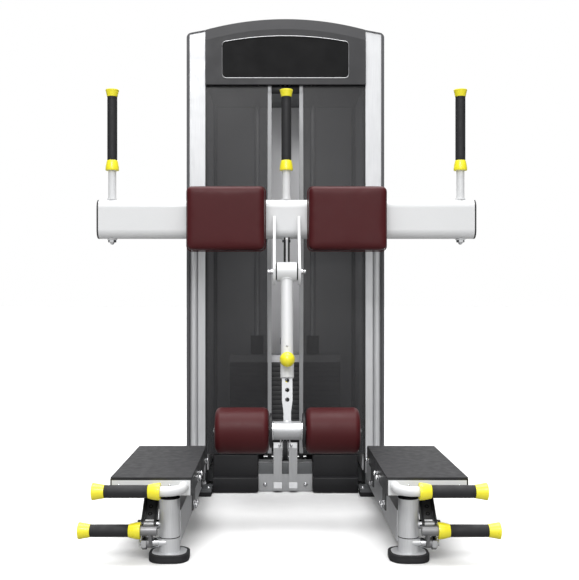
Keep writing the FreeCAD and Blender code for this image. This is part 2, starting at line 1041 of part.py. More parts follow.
washer_low = S["beam_bottom"] - S["post_washer"]
bolt_tip = washer_low - S["post_nut"] - 1
handle_posts = []
grips = []
grip_caps = []
for spot in (-1, 0, 1):
    center = spot * S["handle_spacing"]
    post = rod(S["tube_radius"], S["cap_high"] - S["beam_top"], center, S["beam_center"],
               S["beam_top"])
    collar = rod(S["tube_radius"] + S["post_collar"], S["post_collar_height"], center,
                 S["beam_center"], S["beam_top"])
    bolt = rod(S["post_bolt"], S["beam_top"] - bolt_tip, center, S["beam_center"], bolt_tip)
    washer = rod(S["grip_radius"], S["post_washer"], center, S["beam_center"], washer_low)
    nut = rod(S["post_nut_radius"], S["post_nut"], center, S["beam_center"],
              washer_low - S["post_nut"])
    handle_posts.append(fuse([post, collar, bolt, washer, nut]))
    sleeve = revolved(
        [
            (S["tube_radius"], S["grip_low"]),
            (S["grip_radius"], S["grip_low"]),
            (S["grip_radius"], S["grip_high"]),
            (S["tube_radius"], S["grip_high"]),
        ],
        "grip",
    )
    grips.append(place(sleeve, center, S["beam_center"], 0))
    lower_cap = grip_cap("low", S["grip_low"], S["cap_low"])
    upper_cap = grip_cap("high", S["grip_high"], S["cap_high"])
    grip_caps.append(place(lower_cap, center, S["beam_center"], 0))
    grip_caps.append(place(upper_cap, center, S["beam_center"], 0))
node(group(handle_posts), "handle_posts")
node(group(grips), "handle_grips")
node(group(grip_caps), "handle_caps")

# ------------------------------------------------------ pivot of the swing arm

beam_front = S["beam_center"] - S["beam_depth"] / 2
ears = []
for sign in SIDES.values():
    blade = padded(
        [
            (beam_front, S["ear_heel"]),
            (beam_front, S["ear_top"]),
            (beam_front - 30, S["ear_top"]),
            (S["hub_y"] - S["ear_radius"], S["hub_z"] + 8),
            (S["hub_y"] - S["ear_radius"], S["hub_z"]),
            (S["hub_y"] + S["ear_radius"], S["hub_z"]),
            (S["hub_y"] + S["ear_radius"], S["hub_z"] + 8),
            (beam_front - 2, S["beam_bottom"] + 6),
        ],
        "YZ_Plane",
        S["ear_thick"],
        "ear",
    )
    center = sign * (S["ear_inner"] + S["ear_thick"] / 2)
    place(blade, center, 0, 0)
    eye = rod(S["ear_radius"], S["ear_thick"], center - S["ear_thick"] / 2, S["hub_y"],
              S["hub_z"], ALONG_X)
    bore = rod(S["pin_radius"], S["ear_thick"] + 2, center - S["ear_thick"] / 2 - 1, S["hub_y"],
               S["hub_z"], ALONG_X)
    ears.append(cut(fuse([blade, eye]), bore))
node(group(ears), "pivot_bracket")

ear_outer = S["ear_inner"] + S["ear_thick"]
pin_half = ear_outer + S["pin_reach"]
pin_heads = [
    rod(S["pin_head"], S["pin_head_length"], sided(side, ear_outer, ear_outer + S["pin_head_length"])[0],
        S["hub_y"], S["hub_z"], ALONG_X)
    for side in SIDES
]
pin_shaft = rod(S["pin_radius"], pin_half * 2, -pin_half, S["hub_y"], S["hub_z"], ALONG_X)
node(fuse([pin_shaft] + pin_heads), "pivot_pin")

# ------------------------------------------------------------------ swing arm
# These pieces are drawn hanging straight down from the hub, then leaned.

LEAN = Rotation(Vector(1, 0, 0), -SIZES["arm_lean"])
hub_bore = rod(S["pin_radius"] + S["pin_clearance"], S["hub_width"] + 2, -S["hub_width"] / 2 - 1,
               0, 0, ALONG_X)
hub = rod(S["hub_radius"], S["hub_width"], -S["hub_width"] / 2, 0, 0, ALONG_X)
tube = rod(S["arm_radius"], S["arm_length"], 0, 0, -S["arm_length"])
collar = rod(S["arm_radius"] + S["collar_extra"], S["collar_length"], 0, 0, -S["arm_length"])
bore_half = S["bar_width"] / 2 + S["bar_play"]
bore_depth = S["bar_depth"] / 2 + S["bar_play"]
tube_bore = box(
    (-bore_half, bore_half),
    (-bore_depth, bore_depth),
    (-S["arm_length"] - 1, -S["hub_radius"] - 4),
)
knob_hole = rod(S["plunger_radius"] + 0.4, 30, 0, -30, -S["knob_drop"], ALONG_Y)
arm = cut(fuse([hub, tube, collar]), fuse([hub_bore, tube_bore, knob_hole]))
node(place(arm, 0, S["hub_y"], S["hub_z"], LEAN), "swing_arm")


def sector(radius, first, last):
    """Corners of a pie slice in the plane across the hub, angles from +Y towards +Z."""
    steps = 12
    corners = []
    for step in range(steps + 1):
        angle = math.radians(first + (last - first) * step / steps)
        corners.append((radius * math.cos(angle), radius * math.sin(angle)))
    return corners


cam_first = SIZES["cam_first"]
cam_last = SIZES["cam_last"]
cam_inner = sector(S["hub_radius"] * 0.99, cam_last, cam_first)
cam_blank = padded(
    cam_inner + sector(S["cam_radius"], cam_first, cam_last),
    "YZ_Plane",
    S["cam_width"],
    "cam_blank",
)
groove_floor = S["cam_radius"] - S["cam_groove_depth"]
groove_ring = revolved(
    [
        (groove_floor, -S["cam_groove"]),
        (S["cam_radius"] + 20, -S["cam_groove"]),
        (S["cam_radius"] + 20, S["cam_groove"]),
        (groove_floor, S["cam_groove"]),
    ],
    "groove_ring",
)
place(groove_ring, 0, 0, 0, ALONG_X)
hub_seat = rod(S["hub_radius"], S["cam_width"] + 2, -S["cam_width"] / 2 - 1, 0, 0, ALONG_X)
cam = cut(cam_blank, fuse([groove_ring, hub_seat]))
node(place(cam, 0, S["hub_y"], S["hub_z"]), "cable_cam")

# The flat bar slides in the tube and carries the crosswise roller axle.
bar_high = -S["arm_length"] + S["bar_overlap"]
bar_low = -S["bar_bottom"]
bar_half = S["bar_width"] / 2
neck_half = S["bar_neck"] / 2
bar = padded(
    [
        (-bar_half, bar_high),
        (-bar_half, bar_low + S["bar_shoulder"]),
        (-neck_half, bar_low + S["bar_waist"]),
        (-neck_half, bar_low),
        (neck_half, bar_low),
        (neck_half, bar_low + S["bar_waist"]),
        (bar_half, bar_low + S["bar_shoulder"]),
        (bar_half, bar_high),
    ],
    "XZ_Plane",
    S["bar_depth"],
    "bar",
)
cross = rod(S["cross_radius"], S["cross_half"] * 2, -S["cross_half"], 0, bar_low, ALONG_X)
axle = rod(S["axle_radius"], S["roller_outer"] * 2 - 12, -S["roller_outer"] + 6, 0, bar_low,
           ALONG_X)
discs = [
    rod(S["disc_radius"], S["disc_thick"], start, 0, bar_low, ALONG_X)
    for start in (-S["cross_half"] - S["disc_thick"], S["cross_half"])
]
pin_holes = [
    rod(S["hole_radius"], 60, 0, -30, -S["knob_drop"] - S["hole_pitch"] * number, ALONG_Y)
    for number in range(-3, 5)
]
slider = cut(fuse([bar, cross, axle] + discs), fuse(pin_holes))
node(place(slider, 0, S["hub_y"], S["hub_z"], LEAN), "arm_slider")

plunger_tip = S["bar_depth"] / 2 + 1
knob = revolved(
    [
        (0, plunger_tip),
        (S["plunger_radius"], plunger_tip),
        (S["plunger_radius"], S["knob_center"] - 23),
        (9, S["knob_center"] - 23),
        (9, S["knob_center"] - 19),
        (S["knob_radius"] - 6, S["knob_center"] - 15),
        (S["knob_radius"], S["knob_center"]),
        (S["knob_radius"] - 4, S["knob_center"] + 13),
        (S["knob_radius"] - 12, S["knob_center"] + 20),
        (0, S["knob_center"] + 21),
    ],
    "pull_pin",
)
lean = math.radians(SIZES["arm_lean"])
knob_turn = LEAN.multiply(Rotation(Vector(1, 0, 0), 90))
knob_y = S["hub_y"] - S["knob_drop"] * math.sin(lean)
knob_z = S["hub_z"] - S["knob_drop"] * math.cos(lean)
node(place(knob, 0, knob_y, knob_z, knob_turn), "pull_pin")

roller_y = S["hub_y"] - S["bar_bottom"] * math.sin(lean)
roller_z = S["hub_z"] - S["bar_bottom"] * math.cos(lean)
for side, sign in SIDES.items():
    width = S["roller_outer"] - S["roller_inner"]
    bore = S["axle_radius"] + 0.08
    edge = S["roller_edge"]
    roller = revolved(
        [
            (bore, 0),
            (S["roller_radius"] - edge, 0),
            (S["roller_radius"] - 4, 4),
            (S["roller_radius"], edge),
            (S["roller_radius"], width - edge),
            (S["roller_radius"] - 4, width - 4),
            (S["roller_radius"] - edge, width),
            (bore, width),
        ],
        "roller",
    )
    start = S["roller_inner"] if sign > 0 else -S["roller_outer"]
    node(place(roller, start, roller_y, roller_z, ALONG_X), "roller_" + side)

# ---------------------------------------------------------------- cable drive

pulley_half = S["pulley_width"] / 2
pulley_bore = S["pulley_axle"] + S["pin_clearance"]
pulley = revolved(
    [
        (pulley_bore, -pulley_half),
        (S["pulley_radius"], -pulley_half),
        (S["pulley_radius"], -4),
        (S["pulley_line"] - 3.5, -3.5),
        (S["pulley_line"] - 3.5, 3.5),
        (S["pulley_radius"], 4),
        (S["pulley_radius"], pulley_half),
        (pulley_bore, pulley_half),
    ],
    "pulley",
)
node(place(pulley, 0, S["pulley_y"], S["pulley_z"], ALONG_X), "top_pulley")

pulley_axle = rod(S["pulley_axle"], 60, -30, S["pulley_y"], S["pulley_z"], ALONG_X)
cheek_depth = (S["pulley_y"] - S["cheek_half"], S["pulley_y"] + S["cheek_half"])
cheeks = [
    box(
        sided(side, S["cheek_inner"], S["cheek_inner"] + S["cheek_thick"]),
        cheek_depth,
        (S["pulley_z"] - S["cheek_half"], hollow_top),
    )
    for side in SIDES
]
cheek_tie = box((-S["strip_outer"], S["strip_outer"]), cheek_depth, (hollow_top - 10, hollow_top))
node(fuse([pulley_axle, cheek_tie] + cheeks), "pulley_bracket")

bridge = [
    box(
        sided(side, 16, S["strip_outer"] - 2),
        (S["tower_front"] - 2, S["tower_front"] + 10),
        (S["strip_top"], S["housing_bottom"] - 1),
    )
    for side in SIDES
]
node(group(bridge), "slot_bridge")

cable_line = S["cam_radius"].value - 4.5
line = S["pulley_line"].value
cam_axis = Vector(0, S["hub_y"].value, S["hub_z"].value)
pulley_axis = Vector(0, S["pulley_y"].value, S["pulley_z"].value)
between = pulley_axis - cam_axis
# An outer tangent from the back of the cam to the front of the pulley crosses over.
cross_angle = math.asin((cable_line + line) / between.Length)
along = math.atan2(between.z, between.y)
run_angle = along + cross_angle
run = Vector(0, math.cos(run_angle), math.sin(run_angle))
out = Vector(0, run.z, -run.y)
leave_cam = cam_axis + out * cable_line
meet_pulley = pulley_axis - out * line
drop_start = pulley_axis + Vector(0, line, 0)
over_top = pulley_axis + Vector(0, -out.y + 1, -out.z).normalize() * line
path = Part.Wire(
    [
        Part.LineSegment(leave_cam, meet_pulley).toShape(),
        Part.Arc(meet_pulley, over_top, drop_start).toShape(),
    ]
)
cable_section = Part.Wire(
    Part.Circle(leave_cam, run, S["cable_radius"].value).toShape()
)
cable = doc.addObject("Part::Feature", "cable_run")
cable.Shape = path.makePipeShell([cable_section], True, False)
node(cable, "cable_run")
drop = rod(S["cable_radius"], S["pulley_z"] - stem_top, 0, S["stack_center"], stem_top)
node(drop, "cable_drop")

# ------------------------------------------------------- legs, posts and feet

side_edge = S["leg_x"] + S["leg_width"] / 2
pivot_end = S["link_inner"] + S["link_gap"] + S["link_thick"] * 2 + 4
for side, sign in SIDES.items():
    whole_leg = box(
        sided(side, S["leg_x"] - S["leg_width"] / 2, side_edge),
        (S["post_y"], S["tower_front"]),
        (S["leg_bottom"], S["leg_top"]),
    )
    post_space = rod(S["post_radius"], S["post_top"], sign * S["post_x"], S["post_y"], 0)
    fore_space = box(
        sided(side, S["leg_x"] - S["leg_width"] / 2 - 1, side_edge + 1),
        (S["post_y"] - 1, S["post_y"] + 12),
        (S["leg_bottom"] - 1, S["leg_top"] + 1),
    )
    leg = cut(whole_leg, fuse([post_space, fore_space]))
    hanger = box(
        sided(side, side_edge, side_edge + S["hanger_thick"]),
        (S["link_rear_y"] - S["hanger_half"], S["link_rear_y"] + S["hanger_half"]),
        (S["leg_bottom"], S["leg_top"]),
    )
    pivot = rod(
        S["pivot_radius"],
        pivot_end - side_edge,
        sided(side, side_edge, pivot_end)[0],
        S["link_rear_y"],
        S["link_low_z"],
        ALONG_X,
    )
    node(fuse([leg, hanger, pivot]), "leg_beam_" + side)

for side, sign in SIDES.items():
    center = sign * S["post_x"]
    post = rod(S["post_radius"], S["post_top"] - S["foot_height"], center, S["post_y"],
               S["foot_height"])
    plate_x = S["foot_plate_width"] / 2
    plate_y = S["foot_plate_depth"] / 2
    plate = box(
        (center - plate_x, center + plate_x),
        (S["post_y"] - plate_y, S["post_y"] + plate_y),
        (S["foot_height"], S["foot_height"] + S["foot_plate_thick"]),
    )
    plate = rounded(plate, plate_y - 8, runs_along(Vector(0, 0, 1)))
    start = S["post_x"] + 6
    pivot_x = sided(side, start, pivot_end)[0]
    pivots = [
        rod(S["pivot_radius"], pivot_end - start, pivot_x, y, z, ALONG_X)
        for y, z in (
            (S["link_low_y"], S["link_low_z"]),
            (S["lever_pivot_y"], S["lever_pivot_z"]),
        )
    ]
    node(fuse([post, plate] + pivots), "front_post_" + side)

# ------------------------------------------------------------ foot platforms

link_lean = math.radians(SIZES["link_angle"])
link_rise = S["link_length"] * math.sin(link_lean)
link_reach = S["link_length"] * math.cos(link_lean)


def link_pair(side, pivot_y, upper_bore):
    """Two straps on a common pair of pivots, with a plate between them."""
    straps = []
    half = S["link_half"]
    run_y = math.cos(link_lean)
    run_z = math.sin(link_lean)
    strap_starts = (S["link_inner"], S["link_inner"] + S["link_thick"] + S["link_gap"])
    for start in strap_starts:
        middle = SIDES[side] * (start + S["link_thick"] / 2)
        corners = [
            (half * run_z, -half * run_y),
            (link_reach + half * run_z, link_rise - half * run_y),
            (link_reach - half * run_z, link_rise + half * run_y),
            (-half * run_z, half * run_y),
        ]
        strap = padded(corners, "YZ_Plane", S["link_thick"], "strap")
        place(strap, middle, pivot_y, S["link_low_z"])
        left_face = middle - S["link_thick"] / 2
        ends = [
            rod(half, S["link_thick"], left_face, pivot_y, S["link_low_z"], ALONG_X),
            rod(half, S["link_thick"], left_face, pivot_y + link_reach,
                S["link_low_z"] + link_rise, ALONG_X),
        ]
        straps.append(fuse([strap] + ends))
    inner = S["link_inner"] + S["link_thick"]
    low_x, high_x = sided(side, inner, inner + S["link_gap"])
    web = padded(
        [
            (link_reach * 0.3 + 5 * run_z, link_rise * 0.3 - 5 * run_y),
            (link_reach * 0.75 + 5 * run_z, link_rise * 0.75 - 5 * run_y),
            (link_reach * 0.75 - 1 * run_z, link_rise * 0.75 + 1 * run_y),
            (link_reach * 0.3 - 1 * run_z, link_rise * 0.3 + 1 * run_y),
        ],
        "YZ_Plane",
        S["link_gap"],
        "web",
    )
    place(web, (low_x + high_x) / 2, pivot_y, S["link_low_z"])
    span = S["link_gap"] + S["link_thick"] * 2 + 2
    start_x = sided(side, S["link_inner"] - 1, S["link_inner"] - 1 + span)[0]
    bores = [
        rod(S["pivot_radius"] + S["pin_clearance"], span, start_x, pivot_y, S["link_low_z"],
            ALONG_X),
        rod(upper_bore, span, start_x, pivot_y + link_reach, S["link_low_z"] + link_rise,
            ALONG_X),
    ]
    return cut(fuse(straps + [web]), fuse(bores))


for side, sign in SIDES.items():
    close_bore = S["deck_pin"] + S["pin_clearance"]
    node(link_pair(side, S["link_low_y"], close_bore), "front_links_" + side)
    node(link_pair(side, S["link_rear_y"], S["deck_pin"] + 1), "rear_links_" + side)

    deck_outer_block = box(
        sided(side, S["deck_inner"], S["deck_outer"]),
        (S["deck_front"], S["deck_back"]),
        (S["deck_bottom"], S["deck_top"]),
    )
    deck_hollow = box(
        sided(side, S["deck_inner"] + S["deck_sheet"], S["deck_outer"] - S["deck_sheet"]),
        (S["deck_front"] - 1, S["deck_back"] - S["deck_sheet"]),
        (S["deck_bottom"] - 1, S["deck_top"] - S["deck_sheet"]),
    )
    shell = cut(deck_outer_block, deck_hollow)
    high_pins = []
    for pivot_y in (S["link_low_y"], S["link_rear_y"]):
        start = S["deck_inner"] + S["deck_sheet"]
        high_pins.append(
            rod(S["deck_pin"], pivot_end - start, sided(side, start, pivot_end)[0],
                pivot_y + link_reach, S["link_low_z"] + link_rise, ALONG_X)
        )
    stiffener = box(
        sided(side, S["deck_inner"] + S["deck_sheet"], S["deck_inner"] + 60),
        (S["deck_front"] + 40, S["deck_back"] - 40),
        (S["deck_top"] - 14, S["deck_top"] - S["deck_sheet"]),
    )
    tabs = [
        box(
            sided(side, S["deck_inner"], S["deck_inner"] + S["deck_sheet"]),
            (middle - S["tab_half"], middle + S["tab_half"]),
            (S["deck_bottom"] - S["tab_drop"], S["deck_bottom"]),
        )
        for middle in (S["link_low_y"] + 20, S["link_rear_y"])
    ]
    node(fuse([shell, stiffener] + tabs + high_pins), "platform_" + side)
    mat = box(
        sided(side, S["deck_inner"] + 1, S["deck_outer"] - 1),
        (S["deck_front"] + 1, S["deck_back"] - 1),
        (S["deck_top"], S["deck_top"] + S["mat_thick"]),
    )
    node(mat, "platform_mat_" + side)

# --------------------------------------------------- handles on the platforms


def tube_path(points, bend):
    """Straight runs joined by arcs that touch them."""
    edges = []
    start = points[0]
    for index in range(1, len(points) - 1):
        corner = points[index]
        back = (points[index - 1] - corner).normalize()
        ahead = (points[index + 1] - corner).normalize()
        half_turn = (math.pi - back.getAngle(ahead)) / 2
        reach = bend * math.tan(half_turn)
        first = corner + back * reach
        last = corner + ahead * reach
        middle_way = (back + ahead).normalize()
        center = corner + middle_way * (bend / math.cos(half_turn))
        edges.append(Part.LineSegment(start, first).toShape())
        edges.append(Part.Arc(first, center - middle_way * bend, last).toShape())
        start = last
    edges.append(Part.LineSegment(start, points[-1]).toShape())
    return Part.Wire(edges)


def swept_tube(points, bend, radius):
    wire = tube_path(points, bend)
    section = Part.Wire(Part.Circle(points[0], points[1] - points[0], radius).toShape())
    return wire.makePipeShell([section], True, False)


def side_grip(side, inner, outer, y, z, name):
    """A sleeve between two bell-shaped caps on a tube that runs along X."""
    cap = S["side_cap"]
    bore = S["tube_radius"]
    lip = S["grip_radius"] + 0.5
    rim = S["cap_radius"] + 1
    points = [
        (bore, inner),
        (rim, inner),
        (lip + 1.5, inner + cap * 0.6),
        (lip, inner + cap),
        (lip - 1, outer - cap),
        (lip, outer - cap),
        (lip + 1.5, outer - cap * 0.6),
        (rim, outer),
        (0, outer),
        (0, outer - 2),
        (bore, outer - 2),
    ]
    body = revolved(points, name)
    turn = ALONG_X if side == "right" else Rotation(Vector(0, 1, 0), -90)
    return place(body, 0, y, z, turn)


for side, sign in SIDES.items():
    root = Vector(sign * SIZES["bar_root"], SIZES["deck_front"], SIZES["bar_height"])
    bend_at = Vector(sign * SIZES["bar_root"], SIZES["bar_front"], SIZES["bar_height"])
    end = Vector(sign * (SIZES["bar_end"] - 2), SIZES["bar_front"], SIZES["bar_height"])
    bar_tube = doc.addObject("Part::Feature", "bar_tube")
    bar_tube.Shape = swept_tube([root, bend_at, end], SIZES["bar_bend"], SIZES["tube_radius"])
    end_plate = box(
        sided(side, S["deck_inner"] + S["deck_sheet"], S["deck_outer"] - S["deck_sheet"]),
        (S["deck_front"], S["deck_front"] + 5),
        (S["deck_bottom"] + 1, S["deck_top"] - S["deck_sheet"]),
    )
    node(fuse([bar_tube, end_plate]), "platform_handle_" + side)
    node(
        side_grip(side, S["grip_start"], S["bar_end"], S["bar_front"], S["bar_height"],
                  "platform_grip"),
        "platform_grip_" + side,
    )

# -------------------------------------------------------------- release levers

lever_bore_radius = S["pivot_radius"] + S["pin_clearance"]
for side in SIDES:
    start = S["link_inner"] + S["link_thick"] + 2
    boss_x = sided(side, start, start + S["lever_boss"])[0]
    web_x = sided(side, start, start + S["lever_web"])[0]
    boss = rod(S["lever_boss_radius"], S["lever_boss"], boss_x, S["lever_pivot_y"],
               S["lever_pivot_z"], ALONG_X)
    web = padded(
        [
            (S["lever_pivot_y"] - 11, S["lever_pivot_z"] - 6),
            (S["lever_pivot_y"] + 11, S["lever_pivot_z"] + 6),
            (S["lever_y"] + 10, S["lever_z"] + 6),
            (S["lever_y"] - 10, S["lever_z"] - 6),
        ],
        "YZ_Plane",
        S["lever_web"],
        "lever_web",
    )
    place(web, web_x + S["lever_web"] / 2, 0, 0)
    bar_tip = S["lever_end"] - 2
    lever_bar = rod(S["tube_radius"], bar_tip - S["lever_root"],
                    sided(side, S["lever_root"], bar_tip)[0], S["lever_y"], S["lever_z"], ALONG_X)
    lever_bore = rod(lever_bore_radius, S["lever_boss"] + 2, boss_x - 1, S["lever_pivot_y"],
                     S["lever_pivot_z"], ALONG_X)
    node(cut(fuse([boss, web, lever_bar]), lever_bore), "release_lever_" + side)
    node(
        side_grip(side, S["lever_end"] - S["lever_grip_length"], S["lever_end"], S["lever_y"],
                  S["lever_z"], "lever_grip"),
        "lever_grip_" + side,
    )

# ------------------------------------------------------------- check and write

doc.recompute()
for item in doc.Objects:
    if "Invalid" in item.State or "Error" in item.State:
        raise RuntimeError(f"{item.Label} is {item.State}")
labels = [shape.Label for shape in nodes]
if len(set(labels)) != len(labels):
    raise RuntimeError("two sub-parts share a name")
os.makedirs("parts", exist_ok=True)
for shape in nodes:
    if shape.Shape.isNull() or not shape.Shape.isValid():
        raise RuntimeError(f"{shape.Label} has no sound shape")
for shape in nodes:
    shape.Shape.exportStep(f"parts/{shape.Label}.step")
print(len(nodes), "sub-parts written")
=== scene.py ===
import math

import bmesh
import bpy
from mathutils import Matrix, Vector


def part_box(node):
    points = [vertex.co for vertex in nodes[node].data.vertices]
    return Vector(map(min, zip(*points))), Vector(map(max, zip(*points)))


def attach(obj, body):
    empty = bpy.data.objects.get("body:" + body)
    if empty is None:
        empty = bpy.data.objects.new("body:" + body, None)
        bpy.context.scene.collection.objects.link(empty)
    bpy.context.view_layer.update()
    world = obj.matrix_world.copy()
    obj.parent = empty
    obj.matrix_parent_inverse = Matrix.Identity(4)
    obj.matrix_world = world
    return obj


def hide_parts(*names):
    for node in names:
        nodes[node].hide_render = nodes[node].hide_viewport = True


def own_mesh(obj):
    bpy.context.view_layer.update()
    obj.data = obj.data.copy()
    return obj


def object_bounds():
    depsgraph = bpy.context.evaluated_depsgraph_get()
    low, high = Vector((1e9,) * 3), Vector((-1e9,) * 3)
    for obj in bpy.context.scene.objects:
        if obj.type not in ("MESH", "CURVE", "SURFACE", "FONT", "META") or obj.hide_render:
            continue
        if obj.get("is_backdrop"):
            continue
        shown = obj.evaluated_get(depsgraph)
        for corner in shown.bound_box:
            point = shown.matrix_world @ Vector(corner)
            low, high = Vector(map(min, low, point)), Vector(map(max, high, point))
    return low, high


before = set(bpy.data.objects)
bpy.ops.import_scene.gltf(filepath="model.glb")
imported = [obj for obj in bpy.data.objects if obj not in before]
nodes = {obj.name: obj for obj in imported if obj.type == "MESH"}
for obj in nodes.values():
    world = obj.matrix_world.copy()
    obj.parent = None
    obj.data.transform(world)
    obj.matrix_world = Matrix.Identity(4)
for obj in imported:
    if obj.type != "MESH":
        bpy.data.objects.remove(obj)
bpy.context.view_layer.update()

SIDES = {"left": -1, "right": 1}
MM = 0.001
scene = bpy.context.scene
scene.view_settings.view_transform = "Standard"

# ------------------------------------------------------------------ camera

EYE = Vector((-0.036, -2.66, 0.67))
LENS = 52.8

camera_data = bpy.data.cameras.new("camera")
camera_data.lens = LENS
camera_data.sensor_width = 36
camera_data.shift_x = 0.025
camera_data.shift_y = 0.0138
camera = bpy.data.objects.new("camera", camera_data)
camera.location = EYE
camera.rotation_euler = (math.radians(90), 0, 0)
scene.collection.objects.link(camera)
scene.camera = camera

# --------------------------------------------------------------- materials


def srgb(red, green, blue):
    """Linear colour of an 8-bit screen colour."""

    def linear(value):
        share = value / 255
        return share / 12.92 if share <= 0.04045 else ((share + 0.055) / 1.055) ** 2.4

    return (linear(red), linear(green), linear(blue), 1)


def tinted(color, factor):
    return tuple(min(1, channel * factor) for channel in color[:3]) + (1,)


class Finish:
    """A Principled material whose colour, roughness and relief come from procedural noise."""

    def __init__(self, name, color, rough, metallic=0.0, mottle=0.06, mottle_size=0.05):
        self.material = bpy.data.materials.new(name)
        self.material.use_nodes = True
        self.tree = self.material.node_tree
        self.shader = self.tree.nodes["Principled BSDF"]
        self.shader.inputs["Metallic"].default_value = metallic
        self.place = self.tree.nodes.new("ShaderNodeTexCoord").outputs["Object"]
        self.color = self.mix(
            tinted(color, 1 - mottle), tinted(color, 1 + mottle), self.noise(1 / mottle_size, 4)
        )
        self.rough = self.ranged(self.noise(2.3 / mottle_size, 3), rough * 0.85, rough * 1.15)
        self.relief = None

    def node(self, kind, **inputs):
        made = self.tree.nodes.new(kind)
        for key, value in inputs.items():
            made.inputs[key.replace("_", " ")].default_value = value
        return made

    def stretched(self, stretch):
        """Object coordinates, scaled differently along each axis."""
        mapping = self.node("ShaderNodeMapping", Scale=stretch)
        self.tree.links.new(self.place, mapping.inputs["Vector"])
        return mapping.outputs["Vector"]

    def noise(self, scale, detail=2, stretch=(1, 1, 1), distortion=0.0):
        made = self.node(
            "ShaderNodeTexNoise", Scale=scale, Detail=detail, Roughness=0.55, Distortion=distortion
        )
        self.tree.links.new(self.stretched(stretch), made.inputs["Vector"])
        return made.outputs["Fac"]

    def cells(self, scale, stretch=(1, 1, 1), feature="F1"):
        made = self.node("ShaderNodeTexVoronoi", Scale=scale)
        made.feature = feature
        self.tree.links.new(self.stretched(stretch), made.inputs["Vector"])
        return made.outputs["Distance"]

    def ranged(self, source, low, high, from_low=0.3, from_high=0.7):
        made = self.node(
            "ShaderNodeMapRange",
            From_Min=from_low,
            From_Max=from_high,
            To_Min=low,
            To_Max=high,
        )
        self.tree.links.new(source, made.inputs["Value"])
        return made.outputs["Result"]

    def mix(self, first, second, share):
        made = self.tree.nodes.new("ShaderNodeMix")
        made.data_type = "RGBA"
        for index, value in ((6, first), (7, second)):
            if isinstance(value, tuple):
                made.inputs[index].default_value = value
            else:
                self.tree.links.new(value, made.inputs[index])
        self.tree.links.new(share, made.inputs[0])
        return made.outputs[2]

    def tint(self, color, share):
        """Blends a further colour in where share is high."""
        self.color = self.mix(self.color, color, share)
        return self

    def bump(self, height, depth, strength=1.0):
        made = self.node("ShaderNodeBump", Strength=strength, Distance=depth)
        self.tree.links.new(height, made.inputs["Height"])
        if self.relief is not None:
            self.tree.links.new(self.relief, made.inputs["Normal"])
        self.relief = made.outputs["Normal"]
        return self

    def done(self, **sockets):
        self.tree.links.new(self.color, self.shader.inputs["Base Color"])
        self.tree.links.new(self.rough, self.shader.inputs["Roughness"])
        if self.relief is not None:
            self.tree.links.new(self.relief, self.shader.inputs["Normal"])
        for key, value in sockets.items():
            self.shader.inputs[key.replace("_", " ")].default_value = value
        return self.material


def powder_coat(name, color, rough=0.38):
    """Fine orange peel over sprayed powder paint."""
    finish = Finish(name, color, rough, mottle=0.025, mottle_size=0.12)
    finish.bump(finish.noise(900, 2), 0.00012, 0.6)
    finish.bump(finish.noise(160, 2), 0.00015, 0.35)
    return finish.done(Coat_Weight=0.25, Coat_Roughness=0.25)


def brushed(name, color, rough, stretch, metallic=1.0):
    """Metal with fine lines along its length."""
    finish = Finish(name, color, rough, metallic=metallic, mottle=0.05, mottle_size=0.09)
    lines = finish.noise(500, 2, stretch)
    finish.tint(tinted(color, 0.8), finish.ranged(lines, 0, 0.5))
    finish.bump(lines, 0.00006, 0.5)
    return finish.done()


def polished(name, color, rough=0.12):
    finish = Finish(name, color, rough, metallic=1.0, mottle=0.03, mottle_size=0.06)
    finish.bump(finish.noise(300, 2), 0.00003, 0.4)
    return finish.done()


def moulded(name, color, rough=0.45, grain=1400, depth=0.00008, **sockets):
    """Spark-eroded texture of a moulded plastic part."""
    finish = Finish(name, color, rough, mottle=0.08, mottle_size=0.15)
    finish.bump(finish.noise(grain, 3), depth, 0.6)
    return finish.done(**sockets)


def vinyl(name, color):
    """Upholstery vinyl: pebbled grain, faint creases and a soft sheen."""
    finish = Finish(name, color, 0.42, mottle=0.1, mottle_size=0.09)
    grain = finish.cells(650)
    finish.tint(tinted(color, 0.62), finish.ranged(grain, 0.0, 0.35, 0.25, 0.6))
    finish.bump(grain, 0.00022, 0.55)
    finish.bump(finish.noise(38, 4, distortion=0.8), 0.0009, 0.22)
    return finish.done(Specular_IOR_Level=0.2)


def rubbery(name, color, rough=0.62, grain=900, depth=0.00025, mottle=0.12):
    finish = Finish(name, color, rough, mottle=mottle, mottle_size=0.05)
    finish.bump(finish.cells(grain), depth, 0.6)
    return finish.done(Specular_IOR_Level=0.35)


def smoked(name, color, alpha):
    """Smoked sheet that lets a little of the inside show."""
    finish = Finish(name, color, 0.34, mottle=0.05, mottle_size=0.25)
    finish.bump(finish.noise(1200, 2), 0.00005, 0.5)
    return finish.done(Alpha=alpha, Specular_IOR_Level=0.35)


def stack_paint(name, color):
    """Black plate paint, rubbed and chipped in places."""
    finish = Finish(name, color, 0.5, mottle=0.15, mottle_size=0.06)
    chips = finish.noise(120, 6, distortion=0.4)
    finish.tint(srgb(96, 94, 92), finish.ranged(chips, 0, 0.8, 0.68, 0.74))
    finish.bump(finish.noise(700, 3), 0.00015, 0.6)
    return finish.done()


